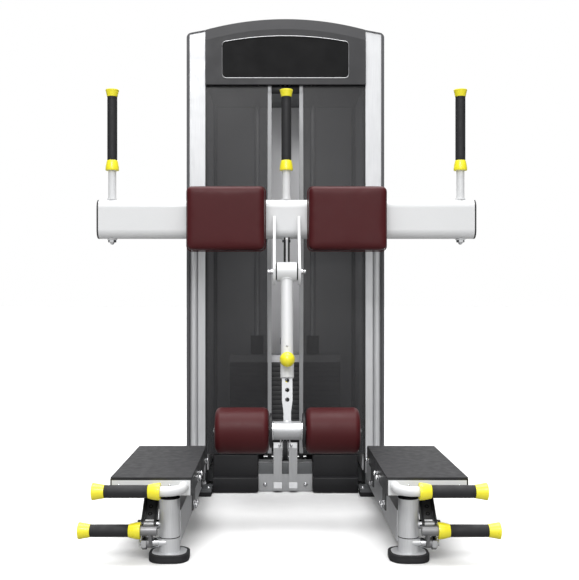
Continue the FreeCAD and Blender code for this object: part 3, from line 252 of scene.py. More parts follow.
MAROON = srgb(76, 26, 29)
WHITE_PAINT = powder_coat("white_paint", srgb(222, 223, 224))
BLACK_PAINT = powder_coat("black_paint", srgb(40, 40, 42), 0.42)
GREY_PAINT = powder_coat("grey_paint", srgb(104, 106, 108), 0.42)
COLUMN_METAL = brushed("column_metal", srgb(210, 211, 213), 0.45, (1, 1, 0.02), 0.4)
STRIP_METAL = brushed("strip_metal", srgb(160, 161, 163), 0.45, (1, 1, 0.02), 0.25)
CHROME = polished("chrome", srgb(225, 226, 228))
SATIN_CHROME = polished("satin_chrome", srgb(200, 201, 203), 0.32)
BRIGHT_BEAD = polished("bright_bead", srgb(214, 214, 216), 0.3)
STEEL = brushed("machined_steel", srgb(190, 190, 192), 0.3, (0.05, 1, 1))
SHROUD = smoked("smoked_shroud", srgb(52, 52, 54), 0.66)
HOUSING = moulded("housing_plastic", srgb(54, 54, 56), 0.5, Specular_IOR_Level=0.3)
DISPLAY = moulded("display_gloss", srgb(24, 24, 25), 0.6, 300, 0.00001, Specular_IOR_Level=0.1)
TRIM = moulded("trim_plastic", srgb(82, 82, 85), 0.5, Specular_IOR_Level=0.3)
BLACK_PLASTIC = moulded("black_plastic", srgb(38, 38, 40), 0.45, Specular_IOR_Level=0.3)
NYLON = moulded("black_nylon", srgb(20, 20, 22), 0.4, Specular_IOR_Level=0.2)
POST_METAL = brushed("post_metal", srgb(224, 225, 227), 0.4, (1, 1, 0.05), 0.45)
BRACKET_METAL = brushed("bracket_metal", srgb(200, 201, 203), 0.42, (1, 1, 0.05), 0.3)
SLIDER_METAL = brushed("slider_metal", srgb(196, 197, 199), 0.36, (1, 1, 0.05), 0.55)
LEVER_STEEL = brushed("lever_steel", srgb(150, 150, 152), 0.42, (1, 1, 1), 0.6)
LINK_GREY = powder_coat("link_grey", srgb(58, 58, 60), 0.5)
YELLOW = moulded("yellow_plastic", srgb(250, 236, 50), 0.28, 500, 0.00004, Coat_Weight=0.3)
GRIP = rubbery("grip_foam", srgb(38, 38, 40), 0.6, 1300, 0.0002)
RUBBER = rubbery("foot_rubber", srgb(40, 40, 42), 0.66)
MAT = rubbery("mat_rubber", srgb(50, 50, 52), 0.7, 520, 0.0001, 0.04)
VINYL = vinyl("maroon_vinyl", MAROON)
PLATE_PAINT = stack_paint("plate_paint", srgb(40, 40, 42))
TOP_PLATE = brushed("top_plate", srgb(190, 190, 192), 0.4, (0.03, 1, 1))
CABLE = brushed("cable_strand", srgb(204, 204, 206), 0.4, (1, 1, 0.3), 0.2)
# The lining's near-white colour is partly its own pale colour and partly painted light, raised to
# stand in for the light that reaches inside the tower.
LINER = moulded("tower_liner", srgb(236, 236, 238), 0.55)

CAD_FINISH = {
    "base_frame": GREY_PAINT,
    "column_left": COLUMN_METAL,
    "column_right": COLUMN_METAL,
    "column_trims": TRIM,
    "top_housing": HOUSING,
    "display_panel": DISPLAY,
    "front_shroud_left": SHROUD,
    "front_shroud_right": SHROUD,
    "rear_shroud": HOUSING,
    "slot_strips": STRIP_METAL,
    "slot_bridge": NYLON,
    "lower_covers": BLACK_PLASTIC,
    "low_bracket": BRACKET_METAL,
    "guide_rods": CHROME,
    "lower_weights": PLATE_PAINT,
    "lifted_weights": PLATE_PAINT,
    "weight_top": TOP_PLATE,
    "stack_bumpers": RUBBER,
    "rubber_feet": RUBBER,
    "main_beam": WHITE_PAINT,
    "beam_end_caps": BLACK_PLASTIC,
    "pad_mounts": BLACK_PAINT,
    "handle_posts": WHITE_PAINT,
    "handle_grips": GRIP,
    "handle_caps": YELLOW,
    "pivot_bracket": WHITE_PAINT,
    "pivot_pin": CHROME,
    # The pulley bracket shares the lining's pale colour, which is partly painted light.
    "pulley_bracket": LINER,
    "cable_run": CABLE,
    "cable_drop": CABLE,
    "swing_arm": WHITE_PAINT,
    "cable_cam": NYLON,
    "arm_slider": SLIDER_METAL,
    "pull_pin": YELLOW,
    "selector_pin": CHROME,
    "top_pulley": NYLON,
    "thigh_pad_left": VINYL,
    "thigh_pad_right": VINYL,
    "roller_left": VINYL,
    "roller_right": VINYL,
}
for side in SIDES:
    CAD_FINISH.update(
        {
            "leg_beam_" + side: POST_METAL,
            "front_post_" + side: POST_METAL,
            "front_links_" + side: BLACK_PAINT,
            "rear_links_" + side: BLACK_PAINT,
            "platform_" + side: BLACK_PAINT,
            "platform_mat_" + side: MAT,
            "platform_handle_" + side: WHITE_PAINT,
            "platform_grip_" + side: GRIP,
            "release_lever_" + side: LEVER_STEEL,
            "lever_grip_" + side: GRIP,
        }
    )
for name, finish in CAD_FINISH.items():
    nodes[name].data.materials.clear()
    nodes[name].data.materials.append(finish)

# ------------------------------------------------------------ mesh helpers


def add_piece(name, mesh, finish, body, stands_for=(), smooth=35):
    """Links a mesh as a piece that rides on a body."""
    piece = bpy.data.objects.new(name, mesh)
    scene.collection.objects.link(piece)
    mesh.materials.append(finish)
    for polygon in mesh.polygons:
        polygon.use_smooth = True
    mesh.set_sharp_from_angle(angle=math.radians(smooth))
    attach(piece, body)
    if stands_for:
        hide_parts(*stands_for)
    return piece


def mesh_from(name, work):
    mesh = bpy.data.meshes.new(name)
    bmesh.ops.remove_doubles(work, verts=work.verts, dist=1e-6)
    bmesh.ops.recalc_face_normals(work, faces=work.faces)
    work.to_mesh(mesh)
    work.free()
    return mesh


def made_of(name, work, finish, body, stands_for=()):
    """Turns a work mesh into a piece riding on a body."""
    piece = add_piece(name, mesh_from(name, work), finish, body, stands_for)
    return piece


def in_mm(*pairs):
    """A turning profile given in millimetres."""
    return [(radius * MM, height * MM) for radius, height in pairs]


AXES = {
    "X": Matrix(((0, 0, 1), (0, 1, 0), (-1, 0, 0))).to_4x4(),
    "-X": Matrix(((0, 0, -1), (0, 1, 0), (1, 0, 0))).to_4x4(),
    "Y": Matrix(((1, 0, 0), (0, 0, 1), (0, -1, 0))).to_4x4(),
    "-Y": Matrix(((1, 0, 0), (0, 0, -1), (0, 1, 0))).to_4x4(),
    "Z": Matrix.Identity(4),
    "-Z": Matrix(((1, 0, 0), (0, -1, 0), (0, 0, -1))).to_4x4(),
}


def away(sign):
    """The axis that points out of the machine on one side."""
    return "X" if sign > 0 else "-X"


def along(origin, axis):
    """A transform that puts Z on an axis, starting at a point given in millimetres."""
    return Matrix.Translation(Vector(origin) * MM) @ AXES[axis]


def turn_into(work, profile, transform, segments=64):
    """Adds a turned solid: (radius, height) pairs spun about Z, then moved."""
    rings = []
    for radius, height in profile:
        if radius < 1e-6:
            rings.append([work.verts.new(transform @ Vector((0, 0, height)))])
            continue
        ring = []
        for step in range(segments):
            angle = 2 * math.pi * step / segments
            point = Vector((radius * math.cos(angle), radius * math.sin(angle), height))
            ring.append(work.verts.new(transform @ point))
        rings.append(ring)
    for first, second in zip(rings, rings[1:]):
        for step in range(segments):
            after = (step + 1) % segments
            corners = []
            for ring, index in ((first, step), (first, after), (second, after), (second, step)):
                corner = ring[index] if len(ring) > 1 else ring[0]
                if corner not in corners:
                    corners.append(corner)
            if len(corners) > 2:
                work.faces.new(corners)


def block_into(work, low, high, bevel=0.0, segments=3, transform=None):
    """Adds a box with rounded edges."""
    part = bmesh.new()
    bmesh.ops.create_cube(part, size=1)
    size = Vector(high) - Vector(low)
    middle = (Vector(high) + Vector(low)) / 2
    for vertex in part.verts:
        vertex.co = Vector(a * b for a, b in zip(vertex.co, size)) + middle
    if bevel:
        bmesh.ops.bevel(
            part, geom=part.edges[:], offset=bevel, segments=segments, profile=0.5, affect="EDGES"
        )
    if transform is not None:
        part.transform(transform)
    held = bpy.data.meshes.new("held")
    part.to_mesh(held)
    part.free()
    work.from_mesh(held)
    bpy.data.meshes.remove(held)


def box_into(work, low, high, bevel=0.0, segments=3, transform=None):
    """The same box, given in millimetres."""
    block_into(work, Vector(low) * MM, Vector(high) * MM, bevel * MM, segments, transform)


# -------------------------------------------------------------- soft pieces


CLOTH_FRAMES = 20


def simulate(piece, cap, pressure=4.0, voxel=0.006):
    """Fills a cushion with air as cloth, no point moving further than cap."""
    bpy.context.view_layer.objects.active = piece
    remesh = piece.modifiers.new("remesh", "REMESH")
    remesh.mode = "VOXEL"
    remesh.voxel_size = voxel
    bpy.ops.object.select_all(action="DESELECT")
    piece.select_set(True)
    bpy.ops.object.modifier_apply(modifier="remesh")
    before = [vertex.co.copy() for vertex in piece.data.vertices]
    cloth = piece.modifiers.new("cloth", "CLOTH")
    cloth.settings.use_pressure = True
    cloth.settings.uniform_pressure_force = pressure
    cloth.settings.effector_weights.gravity = 0
    cloth.settings.quality = 4
    cloth.point_cache.frame_start = 1
    cloth.point_cache.frame_end = CLOTH_FRAMES
    for number in range(1, CLOTH_FRAMES + 1):
        scene.frame_set(number)
    solved = piece.evaluated_get(bpy.context.evaluated_depsgraph_get())
    after = [vertex.co.copy() for vertex in solved.data.vertices]
    piece.modifiers.remove(cloth)
    scene.frame_set(1)
    for vertex, start, end in zip(piece.data.vertices, before, after):
        move = end - start
        if move.length > cap:
            move *= cap / move.length
        vertex.co = start + move


def smooth_mesh(piece, rounds, factor=0.5):
    work = bmesh.new()
    work.from_mesh(piece.data)
    for _ in range(rounds):
        bmesh.ops.smooth_vert(
            work, verts=work.verts, factor=factor, use_axis_x=True, use_axis_y=True, use_axis_z=True
        )
    work.to_mesh(piece.data)
    work.free()


def closed_tube(name, points, radius, finish, body, sides=10, closed=True):
    """A thin tube along a ring of points."""
    work = bmesh.new()
    count = len(points)
    rings = []
    for index, point in enumerate(points):
        if closed:
            ahead = Vector(points[(index + 1) % count]) - Vector(points[index - 1])
        else:
            first = Vector(points[max(index - 1, 0)])
            ahead = Vector(points[min(index + 1, count - 1)]) - first
        ahead.normalize()
        side_axis = Vector((0, 1, 0)) if abs(ahead.y) < 0.9 else Vector((1, 0, 0))
        across = (side_axis - ahead * side_axis.dot(ahead)).normalized()
        up = ahead.cross(across)
        ring = []
        for step in range(sides):
            angle = 2 * math.pi * step / sides
            offset = across * math.cos(angle) + up * math.sin(angle)
            ring.append(work.verts.new(Vector(point) + offset * radius))
        rings.append(ring)
    pairs = list(zip(rings, rings[1:]))
    if closed:
        pairs.append((rings[-1], rings[0]))
    else:
        work.faces.new(rings[0])
        work.faces.new(rings[-1])
    for first, second in pairs:
        for step in range(sides):
            after = (step + 1) % sides
            work.faces.new((first[step], first[after], second[after], second[step]))
    return add_piece(name, mesh_from(name, work), finish, body)


def rounded_ring(low, high, y, corner, steps=8):
    """Points round a rectangle with rounded corners, across Y."""
    points = []
    for sign_x, sign_z, start in ((1, 1, 0), (-1, 1, 90), (-1, -1, 180), (1, -1, 270)):
        center_x = (high.x - corner) if sign_x > 0 else (low.x + corner)
        center_z = (high.z - corner) if sign_z > 0 else (low.z + corner)
        for step in range(steps + 1):
            angle = math.radians(start + 90 * step / steps)
            points.append(
                (center_x + corner * math.cos(angle), y, center_z + corner * math.sin(angle))
            )
    return points


PAD_CORNER = 16 * MM
PAD_ROUND = 11 * MM
PAD_SWELL = 2.5 * MM
PAD_OUTER_STUFFING = 6.5 * MM
PAD_TOP_STUFFING = 4 * MM
WELT_RADIUS = 1.7 * MM
WELT_INSET = 0.6 * MM
SEAM_FROM_BACK = 15 * MM


def thigh_pad(side):
    """A firm upholstered cushion with a welt round its back edge."""
    cad = "thigh_pad_" + side
    board_low, board_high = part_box(cad)
    low, high = board_low.copy(), board_high.copy()
    # The stuffed cover is sewn a little larger than its board at the top and the outer side.
    outer = low if side == "left" else high
    outer.x += SIDES[side] * PAD_OUTER_STUFFING
    high.z += PAD_TOP_STUFFING
    inset = Vector((PAD_SWELL * 0.2, PAD_SWELL * 0.8, PAD_SWELL * 0.4))
    start, end = low + inset, high - inset
    end.y = high.y
    work = bmesh.new()
    block_into(work, start, end)
    upright = [
        edge
        for edge in work.edges
        if abs((edge.verts[0].co - edge.verts[1].co).normalized().y) > 0.9
    ]
    bmesh.ops.bevel(
        work, geom=upright, offset=PAD_CORNER, segments=6, profile=0.5, affect="EDGES"
    )
    front = [
        edge
        for edge in work.edges
        if all(abs(vertex.co.y - start.y) < 1e-5 for vertex in edge.verts)
    ]
    bmesh.ops.bevel(work, geom=front, offset=PAD_ROUND, segments=6, profile=0.5, affect="EDGES")
    name = "pad_cover_" + side
    piece = add_piece(name, mesh_from(name, work), VINYL, "machine_frame", [cad], smooth=60)
    simulate(piece, PAD_SWELL)
    smooth_mesh(piece, 3)
    for vertex in piece.data.vertices:
        vertex.co.y = min(vertex.co.y, high.y)
    for polygon in piece.data.polygons:
        polygon.use_smooth = True
    step_in = Vector((WELT_INSET, 0, WELT_INSET))
    ring = rounded_ring(low + step_in, high - step_in, high.y - SEAM_FROM_BACK, PAD_CORNER)
    welt = closed_tube("pad_welt_" + side, ring, WELT_RADIUS, VINYL, "machine_frame")


for side in SIDES:
    thigh_pad(side)

ROLLER_EDGE = 17 * MM
ROLLER_BORE = 13 * MM
ROLLER_CROWN = 0.6 * MM
GATHERS = 34


def roller(side):
    """A vinyl-covered foam roller with gathered ends."""
    cad = "roller_" + side
    low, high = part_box(cad)
    middle = (low + high) / 2
    radius = (high.z - low.z) / 2
    length = high.x - low.x
    profile = [(ROLLER_BORE, 2 * MM), (radius * 0.6, 0.0)]
    steps = 10
    for step in range(steps + 1):
        angle = math.pi / 2 * step / steps
        profile.append(
            (
                radius - ROLLER_EDGE * (1 - math.sin(angle)),
                ROLLER_EDGE * (1 - math.cos(angle)),
            )
        )
    straight = 12
    for step in range(1, straight):
        share = step / straight
        crown = ROLLER_CROWN * (1 - math.sin(math.pi * share))
        profile.append((radius - crown, ROLLER_EDGE + (length - 2 * ROLLER_EDGE) * share))
    for step in range(steps + 1):
        angle = math.pi / 2 * (1 - step / steps)
        profile.append(
            (
                radius - ROLLER_EDGE * (1 - math.sin(angle)),
                length - ROLLER_EDGE * (1 - math.cos(angle)),
            )
        )
    profile += [(radius * 0.6, length), (ROLLER_BORE, length - 2 * MM), (ROLLER_BORE, 2 * MM)]
    work = bmesh.new()
    turn_into(work, profile, AXES["X"], 96)
    for vertex in work.verts:
        around = math.atan2(vertex.co.y, vertex.co.z)
        distance = min(vertex.co.x, length - vertex.co.x)
        out = math.hypot(vertex.co.y, vertex.co.z)
        if distance < ROLLER_EDGE and out > radius * 0.62:
            pull = 0.5 * MM * math.sin(GATHERS * around) * (1 - distance / ROLLER_EDGE)
            vertex.co.y *= 1 + pull / out
            vertex.co.z *= 1 + pull / out
    bmesh.ops.transform(
        work, matrix=Matrix.Translation((low.x, middle.y, middle.z)), verts=work.verts
    )
    name = "roller_cover_" + side
    piece = add_piece(name, mesh_from(name, work), VINYL, cad, [cad], smooth=60)


for side in SIDES:
    roller(side)

# ---------------------------------------------------------------- hand grips

# Spots of the machine in millimetres, the sides mirrored about X = 0.
HANDLES_X = (-553, 0, 553)
HANDLES_Y = 43
HUB = Vector((0, -70, 750))
FRONT_PIVOT = (-478, 90)
REAR_PIVOT = (-190, 90)
LINK_FACE = 378.3
LINK_TILT = 44
LEVER_PIVOT = (-492, 47)
DECK_SIDE = 245
POST_X, POST_Y = 307, -473
STACK_Y = 425
SELECTOR_Z = 365.2
STOP_ROLLER = (334, 132)
GRIP_RADIUS = 15.7 * MM
CAP_RIM = 21.3 * MM
CAP_NECK = 16.6 * MM
TUBE_BORE = 12.6 * MM


def bell(height, domed):
    """A collar's profile from its wide end to its neck."""
    points = [(TUBE_BORE, 1.5 * MM), (CAP_RIM - 3 * MM, 0.4 * MM), (CAP_RIM - 0.8 * MM, 0.9 * MM)]
    steps = 10
    for step in range(steps + 1):
        share = step / steps
        fall = 1 - math.cos(share * math.pi / 2) if domed else share**0.9
        level = 2.6 * MM + (height - 3.2 * MM) * share
        points.append((CAP_RIM - (CAP_RIM - CAP_NECK) * fall, level))
    points += [(CAP_NECK - 0.6 * MM, height), (TUBE_BORE, height), (TUBE_BORE, 1.5 * MM)]
    return points


def end_bell(height):
    """The same collar, closed by a slightly domed end face."""
    face = [(0.0, 0.0), (CAP_RIM * 0.55, 0.15 * MM), (CAP_RIM - 3 * MM, 1.0 * MM)]
    outside = [(radius, level + 0.8 * MM) for radius, level in bell(height - 0.8 * MM, False)[2:-2]]
    return face + outside + [(TUBE_BORE, height), (0.0, height)]


def sleeve_profile(length):
    """Foam sleeve with two shallow rings near each end."""
    points = [(TUBE_BORE, 0.0), (GRIP_RADIUS - 1 * MM, 0.0), (GRIP_RADIUS, 1 * MM)]
    for ring in (5 * MM, 9 * MM, length - 9 * MM, length - 5 * MM):
        for offset, depth in ((-0.9, 0), (-0.5, 0.5), (0.5, 0.5), (0.9, 0)):
            points.append((GRIP_RADIUS - depth * MM, ring + offset * MM))
    points += [
        (GRIP_RADIUS, length - 1 * MM),
        (GRIP_RADIUS - 1 * MM, length),
        (TUBE_BORE, length),
        (TUBE_BORE, 0.0),
    ]
    return points


def grip_into(sleeves, caps, base, length, cap, near_cap):
    """A sleeve and its two collars along Z, the far one closed."""
    turn_into(caps, bell(near_cap, True), base, 48)
    start = base @ Matrix.Translation((0, 0, near_cap))
    turn_into(sleeves, sleeve_profile(length - near_cap - cap), start, 48)
    far = base @ Matrix.Translation((0, 0, length)) @ AXES["-Z"]
    turn_into(caps, end_bell(cap), far, 48)


def grip_set(name, spots, length, cap, near_cap, body, stands_for):
    sleeves, caps = bmesh.new(), bmesh.new()
    for base in spots:
        grip_into(sleeves, caps, base, length * MM, cap * MM, near_cap * MM)
    made_of(name + "_sleeves", sleeves, GRIP, body, stands_for)
    made_of(name + "_caps", caps, YELLOW, body, stands_for)


grip_set(
    "upright_grip",
    [along((x, HANDLES_Y, 1074), "Z") for x in HANDLES_X],
    259,
    24,
    33,
    "machine_frame",
    ["handle_grips", "handle_caps"],
)
for side, sign in SIDES.items():
    outward = away(sign)
    grip_set(
        "platform_grip_" + side, [along((sign * 316, -576.5, 196), outward)], 169, 31, 31,
        "platform_" + side, ["platform_grip_" + side],
    )
    grip_set(
        "lever_grip_" + side, [along((sign * 374, -514, 83), outward)], 159, 31, 31,
        "release_lever_" + side, ["lever_grip_" + side],
    )

# ------------------------------------------------------------------ fasteners


def dome_into(work, base, radius, height, segments=24):
    """A button head with a socket-like dimple."""
    radius, height = radius * MM, height * MM
    points = [(0.0, 0.0), (radius, 0.0)]
    for step in range(7):
        angle = math.pi / 2 * step / 6 * 0.8
        level = height * math.sin(angle) / math.sin(math.pi * 0.4)
        points.append((radius * math.cos(angle), level))
    points += [(radius * 0.3, height * 0.98), (radius * 0.26, height * 0.7), (0.0, height * 0.66)]
    turn_into(work, points, base, segments)


def hex_into(work, base, across, height):
    """A hexagon nut or bolt head with chamfered corners."""
    across, height = across * MM, height * MM
    corner = across / math.sqrt(3)
    rings = []
    for level, scale in ((0, 0.93), (0.12, 1), (0.86, 1), (1, 0.9)):
        ring = []
        for step in range(6):
            angle = math.radians(60 * step)
            point = Vector(
                (corner * scale * math.cos(angle), corner * scale * math.sin(angle), height * level)
            )
            ring.append(work.verts.new(base @ point))
        rings.append(ring)
    for first, second in zip(rings, rings[1:]):
        for step in range(6):
            after = (step + 1) % 6
            work.faces.new((first[step], first[after], second[after], second[step]))
    work.faces.new(rings[0])
    work.faces.new(rings[-1])


def ring_into(work, base, outer, inner, height, segments=32):
    """A washer or collar with a small chamfer."""
    outer, inner, height = outer * MM, inner * MM, height * MM
    edge = min(0.5 * MM, height / 3)
    points = [
        (inner, 0.0), (outer - edge, 0.0), (outer, edge), (outer, height - edge),
        (outer - edge, height), (inner, height), (inner, 0.0),
    ]
    turn_into(work, points, base, segments)


def rod_into(work, base, radius, height, segments=32):
    radius, height = radius * MM, height * MM
    edge = min(radius * 0.25, height * 0.4)
    points = [
        (0.0, 0.0), (radius, 0.0), (radius, height - edge), (radius - edge, height), (0.0, height)
    ]
    turn_into(work, points, base, segments)


WASHER = 1.6


def nut_set(work, base, across):
    """Washer, nut and the rounded end of the bolt, from a face outwards."""
    height = across * 0.42
    ring_into(work, base, across * 0.68, across * 0.3, WASHER)
    hex_into(work, base @ Matrix.Translation((0, 0, WASHER * MM)), across, height)
    dome_into(work, base @ Matrix.Translation((0, 0, (WASHER + height) * MM)), across * 0.3, 3)


frame_bolts = bmesh.new()
for x in HANDLES_X:
    hex_into(frame_bolts, along((x, HANDLES_Y, 855), "-Z"), 22.6, 8.6)
    dome_into(frame_bolts, along((x, HANDLES_Y, 846.4), "-Z"), 7, 7)
for sign in SIDES.values():
    outward = away(sign)
    # pivots of the links and the lever
    nut_set(frame_bolts, along((sign * LINK_FACE, *FRONT_PIVOT), outward), 19)
    nut_set(frame_bolts, along((sign * LINK_FACE, *REAR_PIVOT), outward), 19)
    ring_into(frame_bolts, along((sign * 332, *LEVER_PIVOT), outward), 12.6, 8, 15)
    hex_into(frame_bolts, along((sign * 362.6, *LEVER_PIVOT), outward), 31, 13)
    dome_into(frame_bolts, along((sign * 375.6, *LEVER_PIVOT), outward), 9, 7)
    ring_into(frame_bolts, along((sign * 333, *FRONT_PIVOT), outward), 11.5, 8, 6)
    # hinge pin of the arm
    dome_into(frame_bolts, along((sign * 46, *HUB.yz), outward), 7.6, 11)
    # floor plate and the small bracket
    ring_into(frame_bolts, along((sign * 70, 284, 24), "-Y"), 8, 2, 1.2)
    dome_into(frame_bolts, along((sign * 70, 282.8, 24), "-Y"), 5.5, 4)
    dome_into(frame_bolts, along((sign * 20, 279, 160), "-Y"), 5, 5)
    hex_into(frame_bolts, along((sign * 20, *STOP_ROLLER), outward), 17, 6)
    dome_into(frame_bolts, along((sign * 262, 235, 25), "Z"), 7, 5)
made_of("frame_bolts", frame_bolts, CHROME, "machine_frame")

for side, sign in SIDES.items():
    outward = away(sign)
    inward = away(-sign)
    bolts = bmesh.new()
    for y, z in ((-105, 181), (-311, 185), (-359, 183)):
        ring_into(bolts, along((sign * DECK_SIDE, y, z), inward), 9, 3, 1.4)
        hex_into(bolts, along((sign * 243.6, y, z), inward), 13, 6)
        dome_into(bolts, along((sign * 237.6, y, z), inward), 4.6, 3)
    for y in (-460, -432, -191):
        ring_into(bolts, along((sign * DECK_SIDE, y, 134), inward), 8, 3, 1.4)
        hex_into(bolts, along((sign * 243.6, y, 134), inward), 12, 5.5)
        dome_into(bolts, along((sign * 238.1, y, 134), inward), 4.2, 2.5)
    for y in (-377.3, -89.3):
        nut_set(bolts, along((sign * LINK_FACE, y, 187.3), outward), 15)
    for x in (301, 430):
        dome_into(bolts, along((sign * x, -518, 198), "-Y"), 3.4, 2)
    made_of("platform_bolts_" + side, bolts, CHROME, "platform_" + side)

# ---------------------------------------------------------- arm, hub and cable

HUB_RADIUS = 29.5
ARM_RADIUS = 19.0
AXLE_DROP = 478
PLUNGER_DROP = 275
BALL_RADIUS = 22.3
BALL_FOOT = -20.6
CAM_CABLE_RADIUS = 100.6
LEAN = math.radians(12)
DOWN = Vector((0, -math.sin(LEAN), -math.cos(LEAN)))
OUTWARD = Vector((0, -math.cos(LEAN), math.sin(LEAN)))


def arm_base(distance, out=0.0):
    """A transform on the arm's front, Z pointing out of it."""
    turn = Matrix.Rotation(math.radians(90) - LEAN, 4, "X")
    place = (HUB + DOWN * distance + OUTWARD * out) * MM
    return Matrix.Translation(place) @ turn


def arm_curve(name, points, radius, finish, body, closed):
    """A thin tube through points given in millimetres."""
    scaled = [point * MM for point in points]
    closed_tube(name, scaled, radius * MM, finish, body, 8, closed)


weld_points = []
for step in range(48):
    angle = 2 * math.pi * step / 48
    x = ARM_RADIUS * math.sin(angle)
    across = ARM_RADIUS * math.cos(angle)
    drop = math.sqrt(HUB_RADIUS**2 - across**2)
    wobble = 0.25 * math.sin(12 * angle)
    weld_points.append(HUB + Vector((x, 0, 0)) + DOWN * (drop + 0.4 + wobble) + OUTWARD * across)
arm_curve("arm_weld", weld_points, 2.4, WHITE_PAINT, "swing_arm", True)

arm_screws = bmesh.new()
dome_into(arm_screws, arm_base(231, 18.3), 3.4, 2.2)
made_of("arm_screw", arm_screws, STEEL, "swing_arm")

hub_rings = bmesh.new()
for sign in SIDES.values():
    outward = away(sign)
    ring_into(hub_rings, along((sign * 30.2, *HUB.yz), outward), 26, 6.5, 3.5, 48)
made_of("hub_washers", hub_rings, NYLON, "machine_frame")

cam_cable = []
for step in range(41):
    angle = math.radians(-33 + 123 * step / 40)
    cam_cable.append(HUB + Vector((0, math.cos(angle), math.sin(angle))) * CAM_CABLE_RADIUS)
# Over the top it bends down the cam's front face into the hub.
for step in range(1, 9):
    angle = math.radians(90 * step / 8)
    cam_cable.append(HUB + Vector((0, -6 * math.sin(angle), 94.6 + 6 * math.cos(angle))))
cam_cable.append(HUB + Vector((0, -6, 26)))
arm_curve("cam_cable", cam_cable, 3.3, CABLE, "swing_arm", False)

# The plunger's ball knob and its stem.
ball = bmesh.new()
profile = [(0.0, BALL_FOOT), (9.0, BALL_FOOT)]
for step in range(20):
    angle = math.radians(-66 + 156 * step / 20)
    profile.append((BALL_RADIUS * math.cos(angle), BALL_RADIUS * math.sin(angle)))
profile.append((0.0, BALL_RADIUS))
turn_into(ball, in_mm(*profile), arm_base(PLUNGER_DROP, 45), 48)
made_of("plunger_ball", ball, YELLOW, "pull_pin", ["pull_pin"])
stem = bmesh.new()
rod_into(stem, arm_base(PLUNGER_DROP, 8.2), 5, 18)
ring_into(stem, arm_base(PLUNGER_DROP, 20.4), 9.5, 5, 4.5)
made_of("plunger_stem", stem, CHROME, "pull_pin", ["pull_pin"])

# Black discs beside the cross tube, and caps on the axle's ends.
slider_discs = bmesh.new()
axle = (HUB + DOWN * AXLE_DROP).yz
for sign in SIDES.values():
    outward = away(sign)
    ring_into(slider_discs, along((sign * 44.6, *axle), outward), 50.5, 27.4, 7.2, 64)
    ring_into(slider_discs, along((sign * 51.4, *axle), outward), 44, 13, 1.6, 64)
    rod_into(slider_discs, along((sign * 204.2, *axle), outward), 22, 8.5, 48)
made_of("roller_discs", slider_discs, BLACK_PLASTIC, "arm_slider")
slider_rings = bmesh.new()
for sign in SIDES.values():
    outward = away(sign)
    ring_into(slider_rings, along((sign * 40.4, *axle), outward), 28.2, 26.8, 4, 64)
    dome_into(slider_rings, along((sign * 212.5, *axle), outward), 8, 4)
made_of("tube_rings", slider_rings, CHROME, "arm_slider")
notch = []
for step in range(33):
    angle = math.radians(-180 + 360 * step / 32)
    x = 11.3 * math.cos(angle)
    across = 7.2 * math.sin(angle)
    drop = math.sqrt(27.2**2 - across**2)
    notch.append(HUB + Vector((x, 0, 0)) + DOWN * (AXLE_DROP - drop) + OUTWARD * across)
arm_curve("bar_weld", notch[:-1], 2.0, SATIN_CHROME, "arm_slider", True)

# The hanging cable, drawn at one length; on the machine it shortens as the stack rises.
CABLE_RADIUS = 2.9
CABLE_LEVELS = (526.3, 800, 1100, 1440)
drop = bmesh.new()
wire = [(CABLE_RADIUS, level) for level in CABLE_LEVELS]
hanging = in_mm((0, CABLE_LEVELS[0]), *wire, (0, CABLE_LEVELS[-1]))
turn_into(drop, hanging, along((0, STACK_Y, 0), "Z"), 16)
made = made_of("drop_cable", drop, CABLE, "machine_frame", ["cable_drop"])
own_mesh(made)
fitting = bmesh.new()
hex_into(fitting, along((0, STACK_Y, 526.4), "Z"), 19, 9)
rod_into(fitting, along((0, STACK_Y, 535.4), "Z"), 6, 26)
made_of("cable_fitting", fitting, STEEL, "moving_weights")

# --------------------------------------------------------------- weight stack

PLATE_PITCH = 16.8
PLATE_HEIGHT = 16.0


def plates(name, first, count, body, stands_for):
    """Bevelled plates with a ringed pin hole in each."""
    work = bmesh.new()
    holes = bmesh.new()
    for index in range(count):
        low = first + PLATE_PITCH * index
        box_into(work, (-197, 373, low), (197, 477, low + PLATE_HEIGHT), 1.4, 2)
        if index:
            box_into(work, (-190, 380, low - 0.9), (190, 470, low + 0.2))
        ring_into(holes, along((0, 373.3, low + PLATE_HEIGHT / 2), "-Y"), 7.4, 5.2, 0.9, 24)
    made_of(name, work, PLATE_PAINT, body, stands_for)
    made_of(name + "_holes", holes, STEEL, body, stands_for)


plates("resting_plates", 122, 14, "machine_frame", ["lower_weights"])
plates("lifted_plates", 357.2, 5, "moving_weights", ["lifted_weights"])

sleeves = bmesh.new()
for sign in SIDES.values():
    ring_into(sleeves, along((sign * 101, STACK_Y, 466.4), "Z"), 23, 19.6, 68, 48)
made_of("guide_sleeves", sleeves, NYLON, "moving_weights")

selector = bmesh.new()
rod_into(selector, along((0, 352, SELECTOR_Z), "Y"), 4.9, 72)
ring_into(selector, along((0, 356, SELECTOR_Z), "Y"), 8, 4.9, 4)
made_of("selector_shaft", selector, CHROME, "selector_pin", ["selector_pin"])
selector = bmesh.new()
knob = in_mm((0, 0), (8, 0.2), (10.8, 2.5), (11, 7), (9, 12), (7, 17), (7.4, 21), (0, 21))
turn_into(selector, knob, along((0, 335, SELECTOR_Z), "Y"), 40)
made_of("selector_knob", selector, YELLOW, "selector_pin", ["selector_pin"])

# --------------------------------------------------- base, bracket and covers

